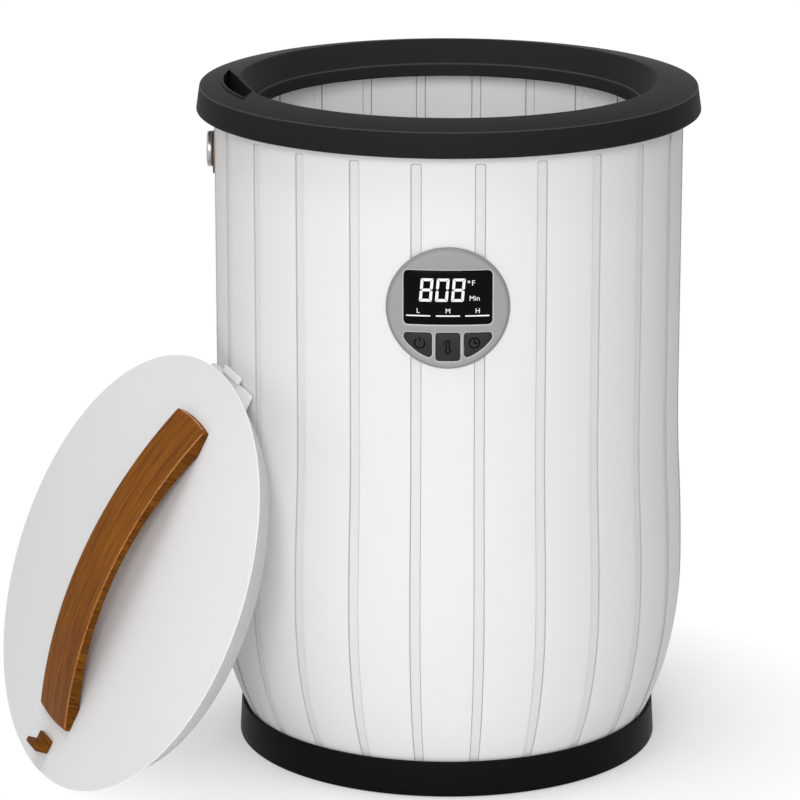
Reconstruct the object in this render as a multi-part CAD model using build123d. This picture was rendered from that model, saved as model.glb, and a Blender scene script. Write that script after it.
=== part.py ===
from build123d import *
import math
import os

# Towel warmer bucket, in millimetres. The bucket's axis is Z, it stands on z = 0 and its control
# panel faces -Y. The lid is taken off and leans on the bucket's left side, -X.

# clearances
FIT = 0.3  # between pieces that seat on each other
SLIDE_FIT = 0.35  # round the buttons
THIN_FIT = 0.2  # under the film and round small parts
EDGE_SLACK = 0.01  # for telling which edges lie on a surface

# body shell: the radii hang on the neck's, and the heights near the rim on the shell's top
BODY_R = 148.6
NECK_Z = 236.0  # the straight neck starts here
BELLY_R = BODY_R + 3.4
BELLY_Z = 120.0
TURN_R = BODY_R - 2.5  # where the foot's curve tightens
TURN_Z = 64.0
FOOT_R = BODY_R - 16.7
SHELL_WALL = 2.4
SHELL_TOP_Z = 416.8
SPIGOT = 4.4  # how far the shell's foot goes into the base ring

# pressed bands on the shell
BAND_COUNT = 24
BAND_W = 6.6
BAND_DEPTH = 0.9
BAND_TOP_Z = SHELL_TOP_Z - 7.8
BAND_CORNER = 1.8
CUTTER_PROUD = 2.0

# base ring and bottom cover
BASE_H = 22.8
BASE_R = FOOT_R + 4.0
BASE_TOP_R = BASE_R - 1.2
BASE_GAP = 0.5  # the ring's edge stands this far off the floor
BASE_SHELF_R = FOOT_R - 6.9
BASE_SHELF = 2.5
COVER_T = 3.0
FEET = 4
COVER_SCREWS = 4
FIRST_SPOT_AZ = 45.0
FOOT_PAD_R = 9.0
FOOT_PAD_T = 1.6
FOOT_PAD_PCD_R = FOOT_R - 29.9
COVER_SCREW_PCD_R = FOOT_R - 3.6
SCREW_R = 1.5
SCREW_HEAD_R = 2.9
SCREW_HEAD_T = 1.8

# cord inlet at the back of the base ring
INLET_Z = BASE_H - 12.2
INLET_BORE_R = 3.4
INLET_BODY_R = 4.7
INLET_FLANGE_R = 7.4
INLET_FLANGE_T = 2.2
INLET_NUT_R = 6.2
INLET_NUT_T = 2.4

# heater and insulation between the shell and the inner bucket
FILM_T = 0.5
FILM_LOW_Z = 100.0
FILM_SEAM = 14.0
SLEEVE_T = 2.0
SLEEVE_LOW_Z = 92.0
SLEEVE_HIGH_Z = SHELL_TOP_Z - 11.8

# inner bucket, inside the shell, the sleeve and the film
LINER_WALL = 1.6
LINER_R = BODY_R - SHELL_WALL - FIT - SLEEVE_T - THIN_FIT - FILM_T - THIN_FIT - LINER_WALL
LINER_FLOOR_Z = 48.0
LINER_CORNER = 32.0
LINER_FLANGE_R = BODY_R - 0.4
LINER_FLANGE_T = 1.4
GASKET_W = 4.0
GASKET_T = 1.2

# rim
RIM_R = BODY_R + 11.4
RIM_BAND_Z = SHELL_TOP_Z - 2.5
RIM_EDGE_R = RIM_R - 2.4
RIM_EDGE_Z = RIM_BAND_Z + 15.7
CREST_R = BODY_R - 11.6
CREST_Z = RIM_EDGE_Z + 4.9
FUNNEL_R = CREST_R - 16.3
FUNNEL_Z = CREST_Z - 12.6
MOUTH_R = FUNNEL_R - 3.4
MOUTH_Z = FUNNEL_Z - 10.1
RIM_WALL = 2.4
RIM_EDGE_ROUND = 2.0
CREST_ROUND = 3.5
RIB_R = BODY_R - 1.4
RIB_T = 2.0

# D-shaped pocket in the rim
POCKET_AZ = 194.0  # the direction that the flat side faces
POCKET_CHORD = BODY_R - 18.6
POCKET_R = BODY_R - 6.2
POCKET_END_AZ = 207.3
POCKET_TAIL = 20.0
POCKET_TOP_Z = CREST_Z - 1.3
POCKET_FLOOR_Z = POCKET_TOP_Z - 12.0
POCKET_WALL = 1.6

# control panel: depths are counted from the shell's front
PANEL_Z = SHELL_TOP_Z - 96.5
PANEL_R = 37.8
PANEL_PROUD = 2.4
PANEL_BACK_Y = 1.2 - BODY_R
PANEL_EDGE = 0.8
COLLAR_R = PANEL_R - 1.2
COLLAR_WALL = 1.3
COLLAR_END_Y = 4.3 - BODY_R
PANEL_POCKET_W = 56.6
FILM_HIGH_Z = PANEL_Z - PANEL_R - 14.5
WINDOW_W = 53.6
WINDOW_TOP = 23.9
WINDOW_BOTTOM = -9.2
WINDOW_CORNER = 2.6
WINDOW_T = 1.3
DISPLAY_MARGIN = 2.0
DISPLAY_GAP = 0.2

# buttons: heights are counted from the panel's centre
KEY_TOP = -14.5
KEY_LOW = -32.6
KEY_MIDDLE_W = 14.8
KEY_SIDE_IN = 9.8
KEY_SIDE_OUT = 26.7
KEY_ARC_R = 32.4
KEY_ROUND = 1.2
KEY_PROUD = 0.3
KEY_FLANGE = 0.8
KEY_FLANGE_T = 0.6
KEY_TRAVEL = 0.5
KEY_REST_GAP = 0.1

# control board
BOARD_FRONT_Y = PANEL_BACK_Y + 2.8
BOARD_T = 0.8
BOARD_MARGIN = 0.5
SWITCH_W = 5.2
SWITCH_BASE_T = 0.8
SWITCH_PLUNGER_R = 1.5
BOSS_R = 1.8
BOSS_SCREW_R = 0.8
BOARD_SCREW_HEAD_R = 1.6
BOARD_SCREW_HEAD_T = 0.9
BOSS_TOP_X = 12.0
BOSS_TOP_Z = 29.0
BOSS_LOW_X = 22.0
BOSS_LOW_Z = -11.5

# side stud
STUD_Z = SHELL_TOP_Z - 29.5
STUD_R = 11.35
STUD_T = 3.3
STUD_ROUND = 1.0
STUD_SHANK_R = 2.4
PAD_T = 1.0
PAD_W = 24.0
PAD_H = 27.5
PAD_DROP = 2.1

# electronics under the inner bucket
POST_H = 11.0
POST_R = 3.4
POWER_BOARD_W = 104.0
POWER_BOARD_D = 72.0
POST_X = POWER_BOARD_W / 2 - 6.0
POST_Y = POWER_BOARD_D / 2 - 6.0
POWER_BOARD_T = 1.6
CUTOUT_R = 8.0
CUTOUT_T = 5.0
CUTOUT_FLANGE_R = 11.0
CUTOUT_FLANGE_T = 1.2
CUTOUT_X = 34.0
SENSOR_W = 9.0
SENSOR_L = 22.0
SENSOR_T = 5.0
SENSOR_X = -34.0

# lid, in its own frame: +x towards the tab, +z out of its top face
LID_R = BODY_R - 6.1
LID_DEPTH = 17.0
SKIRT_R = LID_R - 13.5
LID_WALL = 2.4
LID_EDGE = 0.5
TRAY_T = 1.8
TRAY_WALL = 2.0
SEAL_W = 2.2
SEAL_T = 1.0
EAR_W = 56.0
EAR_REACH = LID_R - 2.2
EAR_TOP = 10.0
EAR_T = 2.5
EAR_ROUND = 2.0
TAB_W = 22.2
TAB_REACH = EAR_REACH + 4.9
TAB_TOP = 8.2
TAB_T = 2.8

# handle and hook on the lid
HANDLE_L = 217.0
HANDLE_W = 40.0
HANDLE_PEAK = 23.2
HANDLE_END_H = 3.2
HANDLE_GAP = 18.2
HANDLE_SPAN = HANDLE_L - 35.0
HANDLE_EDGE = 1.6
HANDLE_SCREW_X = HANDLE_L / 2 - 10.5
HANDLE_SCREW_Y = HANDLE_W / 2 - 9.0
HOOK_OUT = LID_R - 13.0
HOOK_IN = HOOK_OUT - 9.2
HOOK_W = 15.5
HOOK_H = 9.5
HOOK_LIP = 3.6
HOOK_BASE = 3.0
HOOK_ROUND = 1.0
WOOD_SCREW_R = 1.4
WOOD_SCREW_HEAD_R = 2.8
WOOD_SCREW_HEAD_T = 1.2
WOOD_SCREW_GRIP = 1.6

# how the lid leans
LEAN_TILT = 23.4  # how far its top face looks up
LEAN_AZ = 211.6  # the direction that its top face looks in
LEAN_ROLL = 9.8  # from straight up to the line of the tab and the handle
LEAN_SIDE = -38.1  # how far it stands to one side of the bucket's axis
LEAN_GAP = 0.3


def write(node, shape):
    export_step(shape, f"parts/{node}.step")


def disc(radius, low_z, high_z):
    return standing(0, 0, low_z, radius, high_z - low_z)


def standing(x, y, low_z, radius, height):
    # an upright cylinder that stands on low_z
    return Pos(x, y, low_z) * Cylinder(radius, height, align=(Align.CENTER, Align.CENTER, Align.MIN))


def ring(inner_r, outer_r, low_z, high_z):
    return disc(outer_r, low_z, high_z) - disc(inner_r, low_z, high_z)


def spin(face, arc=360.0):
    return revolve(face, axis=Axis.Z, revolution_arc=arc)


def section(points):
    return make_face(Polyline(*[(r, 0, z) for r, z in points], close=True))


def facing_front(sketch, near_y, far_y):
    # a sketch drawn as (x, height) and pushed through from near_y to far_y
    plane = Plane(origin=(0, near_y, 0), x_dir=(1, 0, 0), z_dir=(0, 1, 0))
    flipped = mirror(sketch, about=Plane.XZ)
    return extrude(plane * flipped, far_y - near_y)


# ---------------------------------------------------------------- body shell


def shell_line(inset):
    # the shell's outline from the base ring to the rim, moved in by inset
    half_r = (BODY_R + BELLY_R) / 2
    half_z = (NECK_Z + BELLY_Z) / 2
    neck = Line((BODY_R - inset, 0, SHELL_TOP_Z), (BODY_R - inset, 0, NECK_Z))
    flare = TangentArc(neck @ 1, (half_r - inset, 0, half_z), tangent=neck % 1)
    belly = TangentArc(flare @ 1, (BELLY_R - inset, 0, BELLY_Z), tangent=flare % 1)
    turn = TangentArc(belly @ 1, (TURN_R - inset, 0, TURN_Z), tangent=(0, 0, -1))
    foot = TangentArc(turn @ 1, (FOOT_R - inset, 0, BASE_H), tangent=turn % 1)
    return [neck, flare, belly, turn, foot]


def shell_band(outer_inset, inner_inset, low_z):
    # the closed section between two insets, with a straight end down to low_z
    outer = shell_line(outer_inset)
    inner = shell_line(inner_inset)
    outer_end = outer[-1] @ 1
    inner_end = inner[-1] @ 1
    foot = Polyline(outer_end, (outer_end.X, 0, low_z), (inner_end.X, 0, low_z), inner_end)
    top = Line(outer[0] @ 0, inner[0] @ 0)
    return make_face(outer + inner + [foot, top])


def shell_radius(height):
    steps = 60
    best_r = BODY_R
    best_gap = math.inf
    for edge in shell_line(0.0):
        for step in range(steps + 1):
            point = edge @ (step / steps)
            gap = abs(point.Z - height)
            if gap < best_gap:
                best_gap = gap
                best_r = point.X
    return best_r


def band_cutter(face, top_z, radius):
    arc = math.degrees(BAND_W / radius)
    cutter = Rot(0, 0, -arc / 2) * spin(face, arc)
    cutter = cutter & disc(BELLY_R + BODY_R, 0, top_z)
    corners = cutter.edges().group_by(Axis.Z)[-1].filter_by(GeomType.LINE)
    return fillet(corners, BAND_CORNER)


def banded(solid, cutter):
    pitch = 360.0 / BAND_COUNT
    cutters = [Rot(0, 0, pitch / 2 + index * pitch) * cutter for index in range(BAND_COUNT)]
    return solid - cutters


def outer_shell():
    shell = spin(shell_band(0.0, SHELL_WALL, BASE_H - SPIGOT))
    cutter = band_cutter(shell_band(-CUTTER_PROUD, BAND_DEPTH, BASE_H), BAND_TOP_Z, BODY_R)
    shell = banded(shell, cutter)
    panel_hole = facing_front(Pos(0, PANEL_Z) * Circle(COLLAR_R + FIT), -BODY_R - BELLY_R, 0)
    stud_hole = Pos(-BODY_R, 0, STUD_Z) * Rot(0, 90, 0) * Cylinder(STUD_SHANK_R + FIT, 4 * SHELL_WALL)
    return shell - panel_hole - stud_hole


# ---------------------------------------------------------------- base


def base_ring():
    inner_r = FOOT_R + FIT
    shelf_z = BASE_H - SPIGOT
    profile = section(
        [
            (BASE_R, BASE_GAP),
            (BASE_TOP_R, BASE_H),
            (inner_r, BASE_H),
            (inner_r, shelf_z),
            (BASE_SHELF_R, shelf_z),
            (BASE_SHELF_R, shelf_z - BASE_SHELF),
            (inner_r, shelf_z - BASE_SHELF),
            (inner_r, COVER_T + BASE_SHELF),
            (BASE_SHELF_R, COVER_T + BASE_SHELF),
            (BASE_SHELF_R, COVER_T),
            (inner_r, COVER_T),
            (inner_r, BASE_GAP),
        ]
    )
    body = spin(profile)
    screw_r = SCREW_R + THIN_FIT
    holes = [standing(x, y, 0, screw_r, COVER_T + 2 * BASE_SHELF) for x, y in cover_screw_spots()]
    inlet = Pos(0, BASE_R, INLET_Z) * Rot(90, 0, 0) * Cylinder(INLET_BODY_R + FIT, 4 * (BASE_R - inner_r))
    nut_room = Pos(0, inner_r - FIT, INLET_Z) * Rot(90, 0, 0) * Cylinder(
        INLET_NUT_R + FIT, 2 * (inner_r - BASE_SHELF_R), align=(Align.CENTER, Align.CENTER, Align.MIN)
    )
    return body - holes - inlet - nut_room


def round_spots(count, radius, start):
    angles = [math.radians(start + index * 360.0 / count) for index in range(count)]
    return [(radius * math.cos(angle), radius * math.sin(angle)) for angle in angles]


def cover_screw_spots():
    return round_spots(COVER_SCREWS, COVER_SCREW_PCD_R, FIRST_SPOT_AZ)


def pad_spots():
    return round_spots(FEET, FOOT_PAD_PCD_R, FIRST_SPOT_AZ)


def post_spots():
    return [(x, y) for x in (-POST_X, POST_X) for y in (-POST_Y, POST_Y)]


def bottom_cover():
    plate = disc(FOOT_R, 0, COVER_T)
    plate = plate + [standing(x, y, COVER_T, POST_R, POST_H) for x, y in post_spots()]
    recesses = [standing(x, y, 0, FOOT_PAD_R + THIN_FIT, FOOT_PAD_T) for x, y in pad_spots()]
    screw_holes = [standing(x, y, 0, SCREW_R + THIN_FIT, COVER_T) for x, y in cover_screw_spots()]
    head_r = SCREW_HEAD_R + THIN_FIT
    head_holes = [standing(x, y, 0, head_r, THIN_FIT + SCREW_HEAD_T) for x, y in cover_screw_spots()]
    return plate - recesses - screw_holes - head_holes


def rubber_feet():
    return Compound(children=[standing(x, y, 0, FOOT_PAD_R, FOOT_PAD_T) for x, y in pad_spots()])


def bottom_screws():
    length = COVER_T + BASE_SHELF - THIN_FIT
    screws = []
    for x, y in cover_screw_spots():
        head = standing(x, y, THIN_FIT, SCREW_HEAD_R, SCREW_HEAD_T)
        shank = standing(x, y, THIN_FIT, SCREW_R, length)
        screws.append(head + shank)
    return Compound(children=screws)


def cord_inlet():
    wall_in = FOOT_R + FIT
    flange_in = BASE_R + FIT
    profile = section(
        [
            (INLET_BORE_R, wall_in - INLET_NUT_T - FIT),
            (INLET_NUT_R, wall_in - INLET_NUT_T - FIT),
            (INLET_NUT_R, wall_in - FIT - 1.0),
            (INLET_BODY_R, wall_in - FIT - 1.0),
            (INLET_BODY_R, flange_in),
            (INLET_FLANGE_R, flange_in),
            (INLET_FLANGE_R - 1.0, flange_in + INLET_FLANGE_T),
            (INLET_BORE_R, flange_in + INLET_FLANGE_T),
        ]
    )
    return Pos(0, 0, INLET_Z) * Rot(-90, 0, 0) * spin(profile)


# ---------------------------------------------------------------- inner bucket and heater


def inner_bucket():
    top_z = SHELL_TOP_Z
    outer_r = LINER_R + LINER_WALL
    with BuildSketch(Plane.XZ) as profile:
        with BuildLine():
            FilletPolyline(
                (0, LINER_FLOOR_Z),
                (LINER_R, LINER_FLOOR_Z),
                (LINER_R, top_z + LINER_FLANGE_T),
                radius=LINER_CORNER,
            )
            Polyline(
                (LINER_R, top_z + LINER_FLANGE_T),
                (LINER_FLANGE_R, top_z + LINER_FLANGE_T),
                (LINER_FLANGE_R, top_z),
                (outer_r, top_z),
            )
            FilletPolyline(
                (outer_r, top_z),
                (outer_r, LINER_FLOOR_Z - LINER_WALL),
                (0, LINER_FLOOR_Z - LINER_WALL),
                radius=LINER_CORNER + LINER_WALL,
            )
            Line((0, LINER_FLOOR_Z - LINER_WALL), (0, LINER_FLOOR_Z))
        make_face()
    return spin(profile.sketch)


def rim_gasket():
    low_z = SHELL_TOP_Z + LINER_FLANGE_T
    outer_r = LINER_FLANGE_R - FIT
    return ring(outer_r - GASKET_W, outer_r, low_z, low_z + GASKET_T)


def heating_film():
    inner_r = LINER_R + LINER_WALL + THIN_FIT
    band = ring(inner_r, inner_r + FILM_T, FILM_LOW_Z, FILM_HIGH_Z)
    seam = Pos(0, inner_r, (FILM_LOW_Z + FILM_HIGH_Z) / 2) * Box(FILM_SEAM, 4 * FILM_T + 2, FILM_HIGH_Z)
    return band - seam


def insulation_sleeve():
    outer_r = BODY_R - SHELL_WALL - FIT
    sleeve = ring(outer_r - SLEEVE_T, outer_r, SLEEVE_LOW_Z, SLEEVE_HIGH_Z)
    panel_hole = facing_front(Pos(0, PANEL_Z) * Circle(PANEL_R + FIT), -BODY_R, 0)
    return sleeve - panel_hole


def overheat_cutout():
    top_z = LINER_FLOOR_Z - LINER_WALL
    can = disc(CUTOUT_R, top_z - CUTOUT_FLANGE_T - CUTOUT_T, top_z - CUTOUT_FLANGE_T)
    flange = disc(CUTOUT_FLANGE_R, top_z - CUTOUT_FLANGE_T, top_z)
    low_z = top_z - CUTOUT_FLANGE_T - CUTOUT_T
    blades = [
        Pos(x, 0, low_z) * Box(0.8, 4.8, 7.0, align=(Align.CENTER, Align.CENTER, Align.MAX))
        for x in (-CUTOUT_R / 2, CUTOUT_R / 2)
    ]
    return Pos(CUTOUT_X, 0, 0) * (can + flange + blades)


def temperature_sensor():
    top_z = LINER_FLOOR_Z - LINER_WALL
    block = Box(SENSOR_W, SENSOR_L, SENSOR_T, align=(Align.CENTER, Align.CENTER, Align.MAX))
    block = fillet(block.edges().filter_by(Axis.Z), SENSOR_W / 4)
    return Pos(SENSOR_X, 0, top_z) * block


def power_board():
    low_z = COVER_T + POST_H
    top_z = low_z + POWER_BOARD_T
    board = Pos(0, 0, low_z) * Box(
        POWER_BOARD_W, POWER_BOARD_D, POWER_BOARD_T, align=(Align.CENTER, Align.CENTER, Align.MIN)
    )
    on_board = (Align.CENTER, Align.CENTER, Align.MIN)
    relay = Pos(-32, 14, top_z) * Box(19, 15, 15, align=on_board)
    transformer = Pos(-2, 8, top_z) * Box(22, 20, 17, align=on_board)
    terminal = Pos(30, -24, top_z) * Box(24, 9, 11, align=on_board)
    capacitor = Pos(0, -20, top_z) * Cylinder(5, 15, align=on_board)
    fuse = Pos(-30, -20, top_z + 3) * Rot(0, 90, 0) * Cylinder(2.6, 20)
    fuse_clips = [Pos(x, -20, top_z) * Box(3, 6.4, 4, align=on_board) for x in (-38, -22)]
    return board + relay + transformer + terminal + capacitor + fuse + fuse_clips


# ---------------------------------------------------------------- rim


def deck_height(radius):
    # the rim's top surface at a radius between the crest and the outer edge
    share = (radius - CREST_R) / (RIM_EDGE_R - CREST_R)
    return CREST_Z + share * (RIM_EDGE_Z - CREST_Z)


def pocket_outline(grow):
    # plan of the D-shaped pocket: an arc round the bucket's axis, a blunt tail and a straight side
    azimuth = math.radians(POCKET_AZ)
    chord = POCKET_CHORD - grow
    radius = POCKET_R + grow
    tail = POCKET_TAIL + grow
    start_t = -math.sqrt(radius**2 - chord**2)
    start = (
        chord * math.cos(azimuth) - start_t * math.sin(azimuth),
        chord * math.sin(azimuth) + start_t * math.cos(azimuth),
    )
    corner = (
        chord * math.cos(azimuth) - tail * math.sin(azimuth),
        chord * math.sin(azimuth) + tail * math.cos(azimuth),
    )
    end_angle = math.radians(POCKET_END_AZ + grow / radius)
    start_angle = math.atan2(start[1], start[0]) % (2 * math.pi)
    middle_angle = (start_angle + end_angle) / 2
    end = (radius * math.cos(end_angle), radius * math.sin(end_angle))
    middle = (radius * math.cos(middle_angle), radius * math.sin(middle_angle))
    arc = ThreePointArc(start, middle, end)
    sides = Polyline(end, corner, start)
    return make_face([arc, sides])


def top_rim():
    with BuildSketch(Plane.XZ) as profile:
        with BuildLine():
            outer = FilletPolyline(
                (BODY_R + FIT, RIM_BAND_Z),
                (RIM_R, RIM_BAND_Z),
                (RIM_EDGE_R, RIM_EDGE_Z),
                (CREST_R, CREST_Z),
                (FUNNEL_R, FUNNEL_Z),
                (MOUTH_R, MOUTH_Z),
                radius=(RIM_WALL + 0.4, RIM_EDGE_ROUND + RIM_WALL, CREST_ROUND + RIM_WALL, RIM_EDGE_ROUND),
            )
            offset(outer, amount=RIM_WALL, side=Side.LEFT, closed=True)
        make_face()
    rim = spin(profile.sketch)
    rib_low = SHELL_TOP_Z + LINER_FLANGE_T + GASKET_T + FIT
    rib_high = deck_height(RIB_R) - RIM_WALL / 2
    rim = rim + ring(RIB_R - RIB_T, RIB_R, rib_low, rib_high)
    cup_low = POCKET_FLOOR_Z - POCKET_WALL
    cup = extrude(Pos(0, 0, cup_low) * pocket_outline(POCKET_WALL), POCKET_TOP_Z - cup_low)
    rim = rim + cup
    hollow = extrude(Pos(0, 0, POCKET_FLOOR_Z) * pocket_outline(0.0), CREST_Z)
    return rim - hollow


# ---------------------------------------------------------------- control panel


def panel_face_r():
    return BODY_R + PANEL_PROUD


def window_outline(grow):
    height = WINDOW_TOP - WINDOW_BOTTOM + 2 * grow
    middle = (WINDOW_TOP + WINDOW_BOTTOM) / 2
    return Pos(0, PANEL_Z + middle) * RectangleRounded(WINDOW_W + 2 * grow, height, WINDOW_CORNER + grow)


def middle_key_outline(grow):
    height = KEY_TOP - KEY_LOW + 2 * grow
    middle = (KEY_TOP + KEY_LOW) / 2
    return Pos(0, PANEL_Z + middle) * RectangleRounded(KEY_MIDDLE_W + 2 * grow, height, KEY_ROUND + grow)


def side_key_outline(grow, side):
    # a quadrant cut from the circle that runs parallel to the panel's edge
    width = KEY_SIDE_OUT - KEY_SIDE_IN
    block = Pos((KEY_SIDE_IN + KEY_SIDE_OUT) / 2, KEY_TOP - PANEL_R / 2) * Rectangle(width, PANEL_R)
    shape = block & Circle(KEY_ARC_R)
    shape = fillet(shape.vertices(), KEY_ROUND)
    if grow:
        shape = offset(shape, grow)
    if side < 0:
        shape = mirror(shape, about=Plane.YZ)
    return Pos(0, PANEL_Z) * shape


def panel_boss_spots():
    return [
        (-BOSS_TOP_X, PANEL_Z + BOSS_TOP_Z),
        (BOSS_TOP_X, PANEL_Z + BOSS_TOP_Z),
        (-BOSS_LOW_X, PANEL_Z + BOSS_LOW_Z),
        (BOSS_LOW_X, PANEL_Z + BOSS_LOW_Z),
    ]


def key_outlines(grow):
    return [side_key_outline(grow, -1), middle_key_outline(grow), side_key_outline(grow, 1)]


def on_cylinder(edge, radius):
    # true where the whole edge lies on the cylinder of this radius round the bucket's axis
    ends = [edge @ share for share in (0.0, 0.3, 0.7)]
    return all(abs(math.hypot(end.X, end.Y) - radius) < EDGE_SLACK for end in ends)


def control_bezel():
    centre = Pos(0, PANEL_Z)
    face_r = panel_face_r()
    front_y = -face_r - PANEL_PROUD
    face = facing_front(centre * Circle(PANEL_R), front_y, -BODY_R / 2) & disc(face_r, 0, CREST_Z)
    rim_edges = [edge for edge in face.edges() if on_cylinder(edge, face_r)]
    face = chamfer(rim_edges, PANEL_EDGE) - disc(BODY_R + FIT, 0, CREST_Z)
    body = facing_front(centre * Circle(COLLAR_R), front_y, COLLAR_END_Y) & disc(face_r, 0, CREST_Z)
    pocket_face = centre * (Circle(COLLAR_R - COLLAR_WALL) & Rectangle(PANEL_POCKET_W, 2 * PANEL_R))
    pocket = facing_front(pocket_face, PANEL_BACK_Y, -BODY_R / 2)
    bezel = face + body - pocket
    bosses = [
        facing_front(Pos(x, z) * Circle(BOSS_R), PANEL_BACK_Y, BOARD_FRONT_Y) for x, z in panel_boss_spots()
    ]
    bezel = bezel + bosses
    pilot = Circle(BOSS_SCREW_R + THIN_FIT / 2)
    pilots = [facing_front(Pos(x, z) * pilot, PANEL_BACK_Y, 0) for x, z in panel_boss_spots()]
    openings = [facing_front(window_outline(THIN_FIT), front_y, PANEL_BACK_Y)]
    openings += [facing_front(shape, front_y, PANEL_BACK_Y) for shape in key_outlines(SLIDE_FIT)]
    return bezel - pilots - openings


def display_window():
    outer_r = panel_face_r() - 0.1
    block = facing_front(window_outline(0.0), -outer_r - 1, -BODY_R / 2)
    return block & ring(outer_r - WINDOW_T, outer_r, 0, CREST_Z)


def display_module():
    width = WINDOW_W - 2 * DISPLAY_MARGIN
    height = WINDOW_TOP - WINDOW_BOTTOM - 2 * DISPLAY_MARGIN
    middle = (WINDOW_TOP + WINDOW_BOTTOM) / 2
    window_back = panel_face_r() - 0.1 - WINDOW_T
    front_y = -math.sqrt(window_back**2 - (width / 2) ** 2) + DISPLAY_GAP
    block = facing_front(Pos(0, PANEL_Z + middle) * Rectangle(width, height), front_y, BOARD_FRONT_Y)
    return block


def key(outline):
    face_r = panel_face_r() + KEY_PROUD
    flange_y = PANEL_BACK_Y + FIT
    cap = facing_front(outline(0.0), -face_r - 1, flange_y + KEY_FLANGE_T) & disc(face_r, 0, CREST_Z)
    flange = facing_front(outline(KEY_FLANGE), flange_y, flange_y + KEY_FLANGE_T)
    return cap + flange


def power_button():
    return key(lambda grow: side_key_outline(grow, -1))


def temperature_button():
    return key(middle_key_outline)


def timer_button():
    return key(lambda grow: side_key_outline(grow, 1))


def key_centres():
    side_x = (KEY_SIDE_IN + KEY_SIDE_OUT) / 2 - KEY_ROUND
    side_z = PANEL_Z + KEY_TOP - SWITCH_W
    middle_z = PANEL_Z + (KEY_TOP + KEY_LOW) / 2
    return [(-side_x, side_z), (0, middle_z), (side_x, side_z)]


def key_switches():
    key_back = PANEL_BACK_Y + FIT + KEY_FLANGE_T
    plunger_y = key_back + KEY_TRAVEL + KEY_REST_GAP
    base_y = BOARD_FRONT_Y - SWITCH_BASE_T
    switches = []
    for x, z in key_centres():
        base = facing_front(Pos(x, z) * Rectangle(SWITCH_W, SWITCH_W), base_y, BOARD_FRONT_Y)
        plunger = facing_front(Pos(x, z) * Circle(SWITCH_PLUNGER_R), plunger_y, base_y)
        switches.append(base + plunger)
    return Compound(children=switches)


def control_board():
    outline = Circle(COLLAR_R - COLLAR_WALL - BOARD_MARGIN)
    outline = outline & Rectangle(PANEL_POCKET_W - 2 * BOARD_MARGIN, 2 * PANEL_R)
    board = facing_front(Pos(0, PANEL_Z) * outline, BOARD_FRONT_Y, BOARD_FRONT_Y + BOARD_T)
    holes = [
        facing_front(Pos(x, z) * Circle(BOSS_SCREW_R + THIN_FIT), BOARD_FRONT_Y, BOARD_FRONT_Y + BOARD_T)
        for x, z in panel_boss_spots()
    ]
    return board - holes


def board_screws():
    head_y = BOARD_FRONT_Y + BOARD_T
    screws = []
    for x, z in panel_boss_spots():
        shank = facing_front(Pos(x, z) * Circle(BOSS_SCREW_R), PANEL_BACK_Y + THIN_FIT, head_y)
        head = facing_front(Pos(x, z) * Circle(BOARD_SCREW_HEAD_R), head_y, head_y + BOARD_SCREW_HEAD_T)
        screws.append(shank + head)
    return Compound(children=screws)


# ---------------------------------------------------------------- side stud


def stud_pad():
    inner_r = BODY_R + THIN_FIT
    outline = Ellipse(PAD_W / 2, PAD_H / 2) - Pos(0, PAD_DROP) * Circle(STUD_SHANK_R + FIT)
    plane = Plane(origin=(-BODY_R - 2 * PAD_T, 0, STUD_Z - PAD_DROP), x_dir=(0, 1, 0), z_dir=(1, 0, 0))
    block = extrude(plane * outline, 4 * PAD_T)
    return block & ring(inner_r, inner_r + PAD_T, 0, CREST_Z)


def side_stud():
    head_x = BODY_R + THIN_FIT + PAD_T + THIN_FIT
    head = disc(STUD_R, head_x, head_x + STUD_T)
    head = fillet(head.edges().group_by(Axis.Z)[-1], STUD_ROUND)
    shank = disc(STUD_SHANK_R, BODY_R - SHELL_WALL, head_x)
    return Pos(0, 0, STUD_Z) * Rot(0, -90, 0) * (head + shank)


# ---------------------------------------------------------------- lid, in its own frame


def skirt_radius(depth):
    return LID_R + (SKIRT_R - LID_R) * depth / LID_DEPTH


def lid_cover():
    inner_top = skirt_radius(LID_WALL) - LID_WALL
    profile = section(
        [
            (0, 0),
            (LID_R - LID_EDGE, 0),
            (LID_R, -LID_EDGE),
            (SKIRT_R, -LID_DEPTH),
            (SKIRT_R - LID_WALL, -LID_DEPTH),
            (inner_top, -LID_WALL),
            (0, -LID_WALL),
        ]
    )
    cover = spin(profile)
    slot = Pos(LID_R, 0, -EAR_TOP - EAR_T / 2) * Box(
        2 * (LID_R - tray_radius()), EAR_W + 2 * THIN_FIT, EAR_T + 2 * THIN_FIT
    )
    holes = [
        Pos(x, y, -LID_WALL / 2) * Cylinder(WOOD_SCREW_R + THIN_FIT, 2 * LID_WALL)
        for x, y in handle_screw_spots() + hook_screw_spots()
    ]
    return cover - holes - slot


def lid_liner():
    outer_r = tray_radius()
    top_z = -LID_WALL - WOOD_SCREW_HEAD_T - FIT
    profile = section(
        [
            (0, -LID_DEPTH),
            (outer_r, -LID_DEPTH),
            (outer_r, top_z),
            (outer_r - TRAY_WALL, top_z),
            (outer_r - TRAY_WALL, -LID_DEPTH + TRAY_T),
            (0, -LID_DEPTH + TRAY_T),
        ]
    )
    return spin(profile)


def lid_foam():
    outer_r = tray_radius() - TRAY_WALL - FIT
    high_z = -LID_WALL - WOOD_SCREW_HEAD_T - 2 * FIT
    return disc(outer_r, -LID_DEPTH + TRAY_T, high_z)


def lid_seal():
    outer_r = SKIRT_R - THIN_FIT
    body = ring(outer_r - SEAL_W, outer_r, -LID_DEPTH - SEAL_T, -LID_DEPTH)
    return fillet(body.edges().group_by(Axis.Z)[0], SEAL_W / 4)


def tray_radius():
    return SKIRT_R - LID_WALL - FIT


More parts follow.
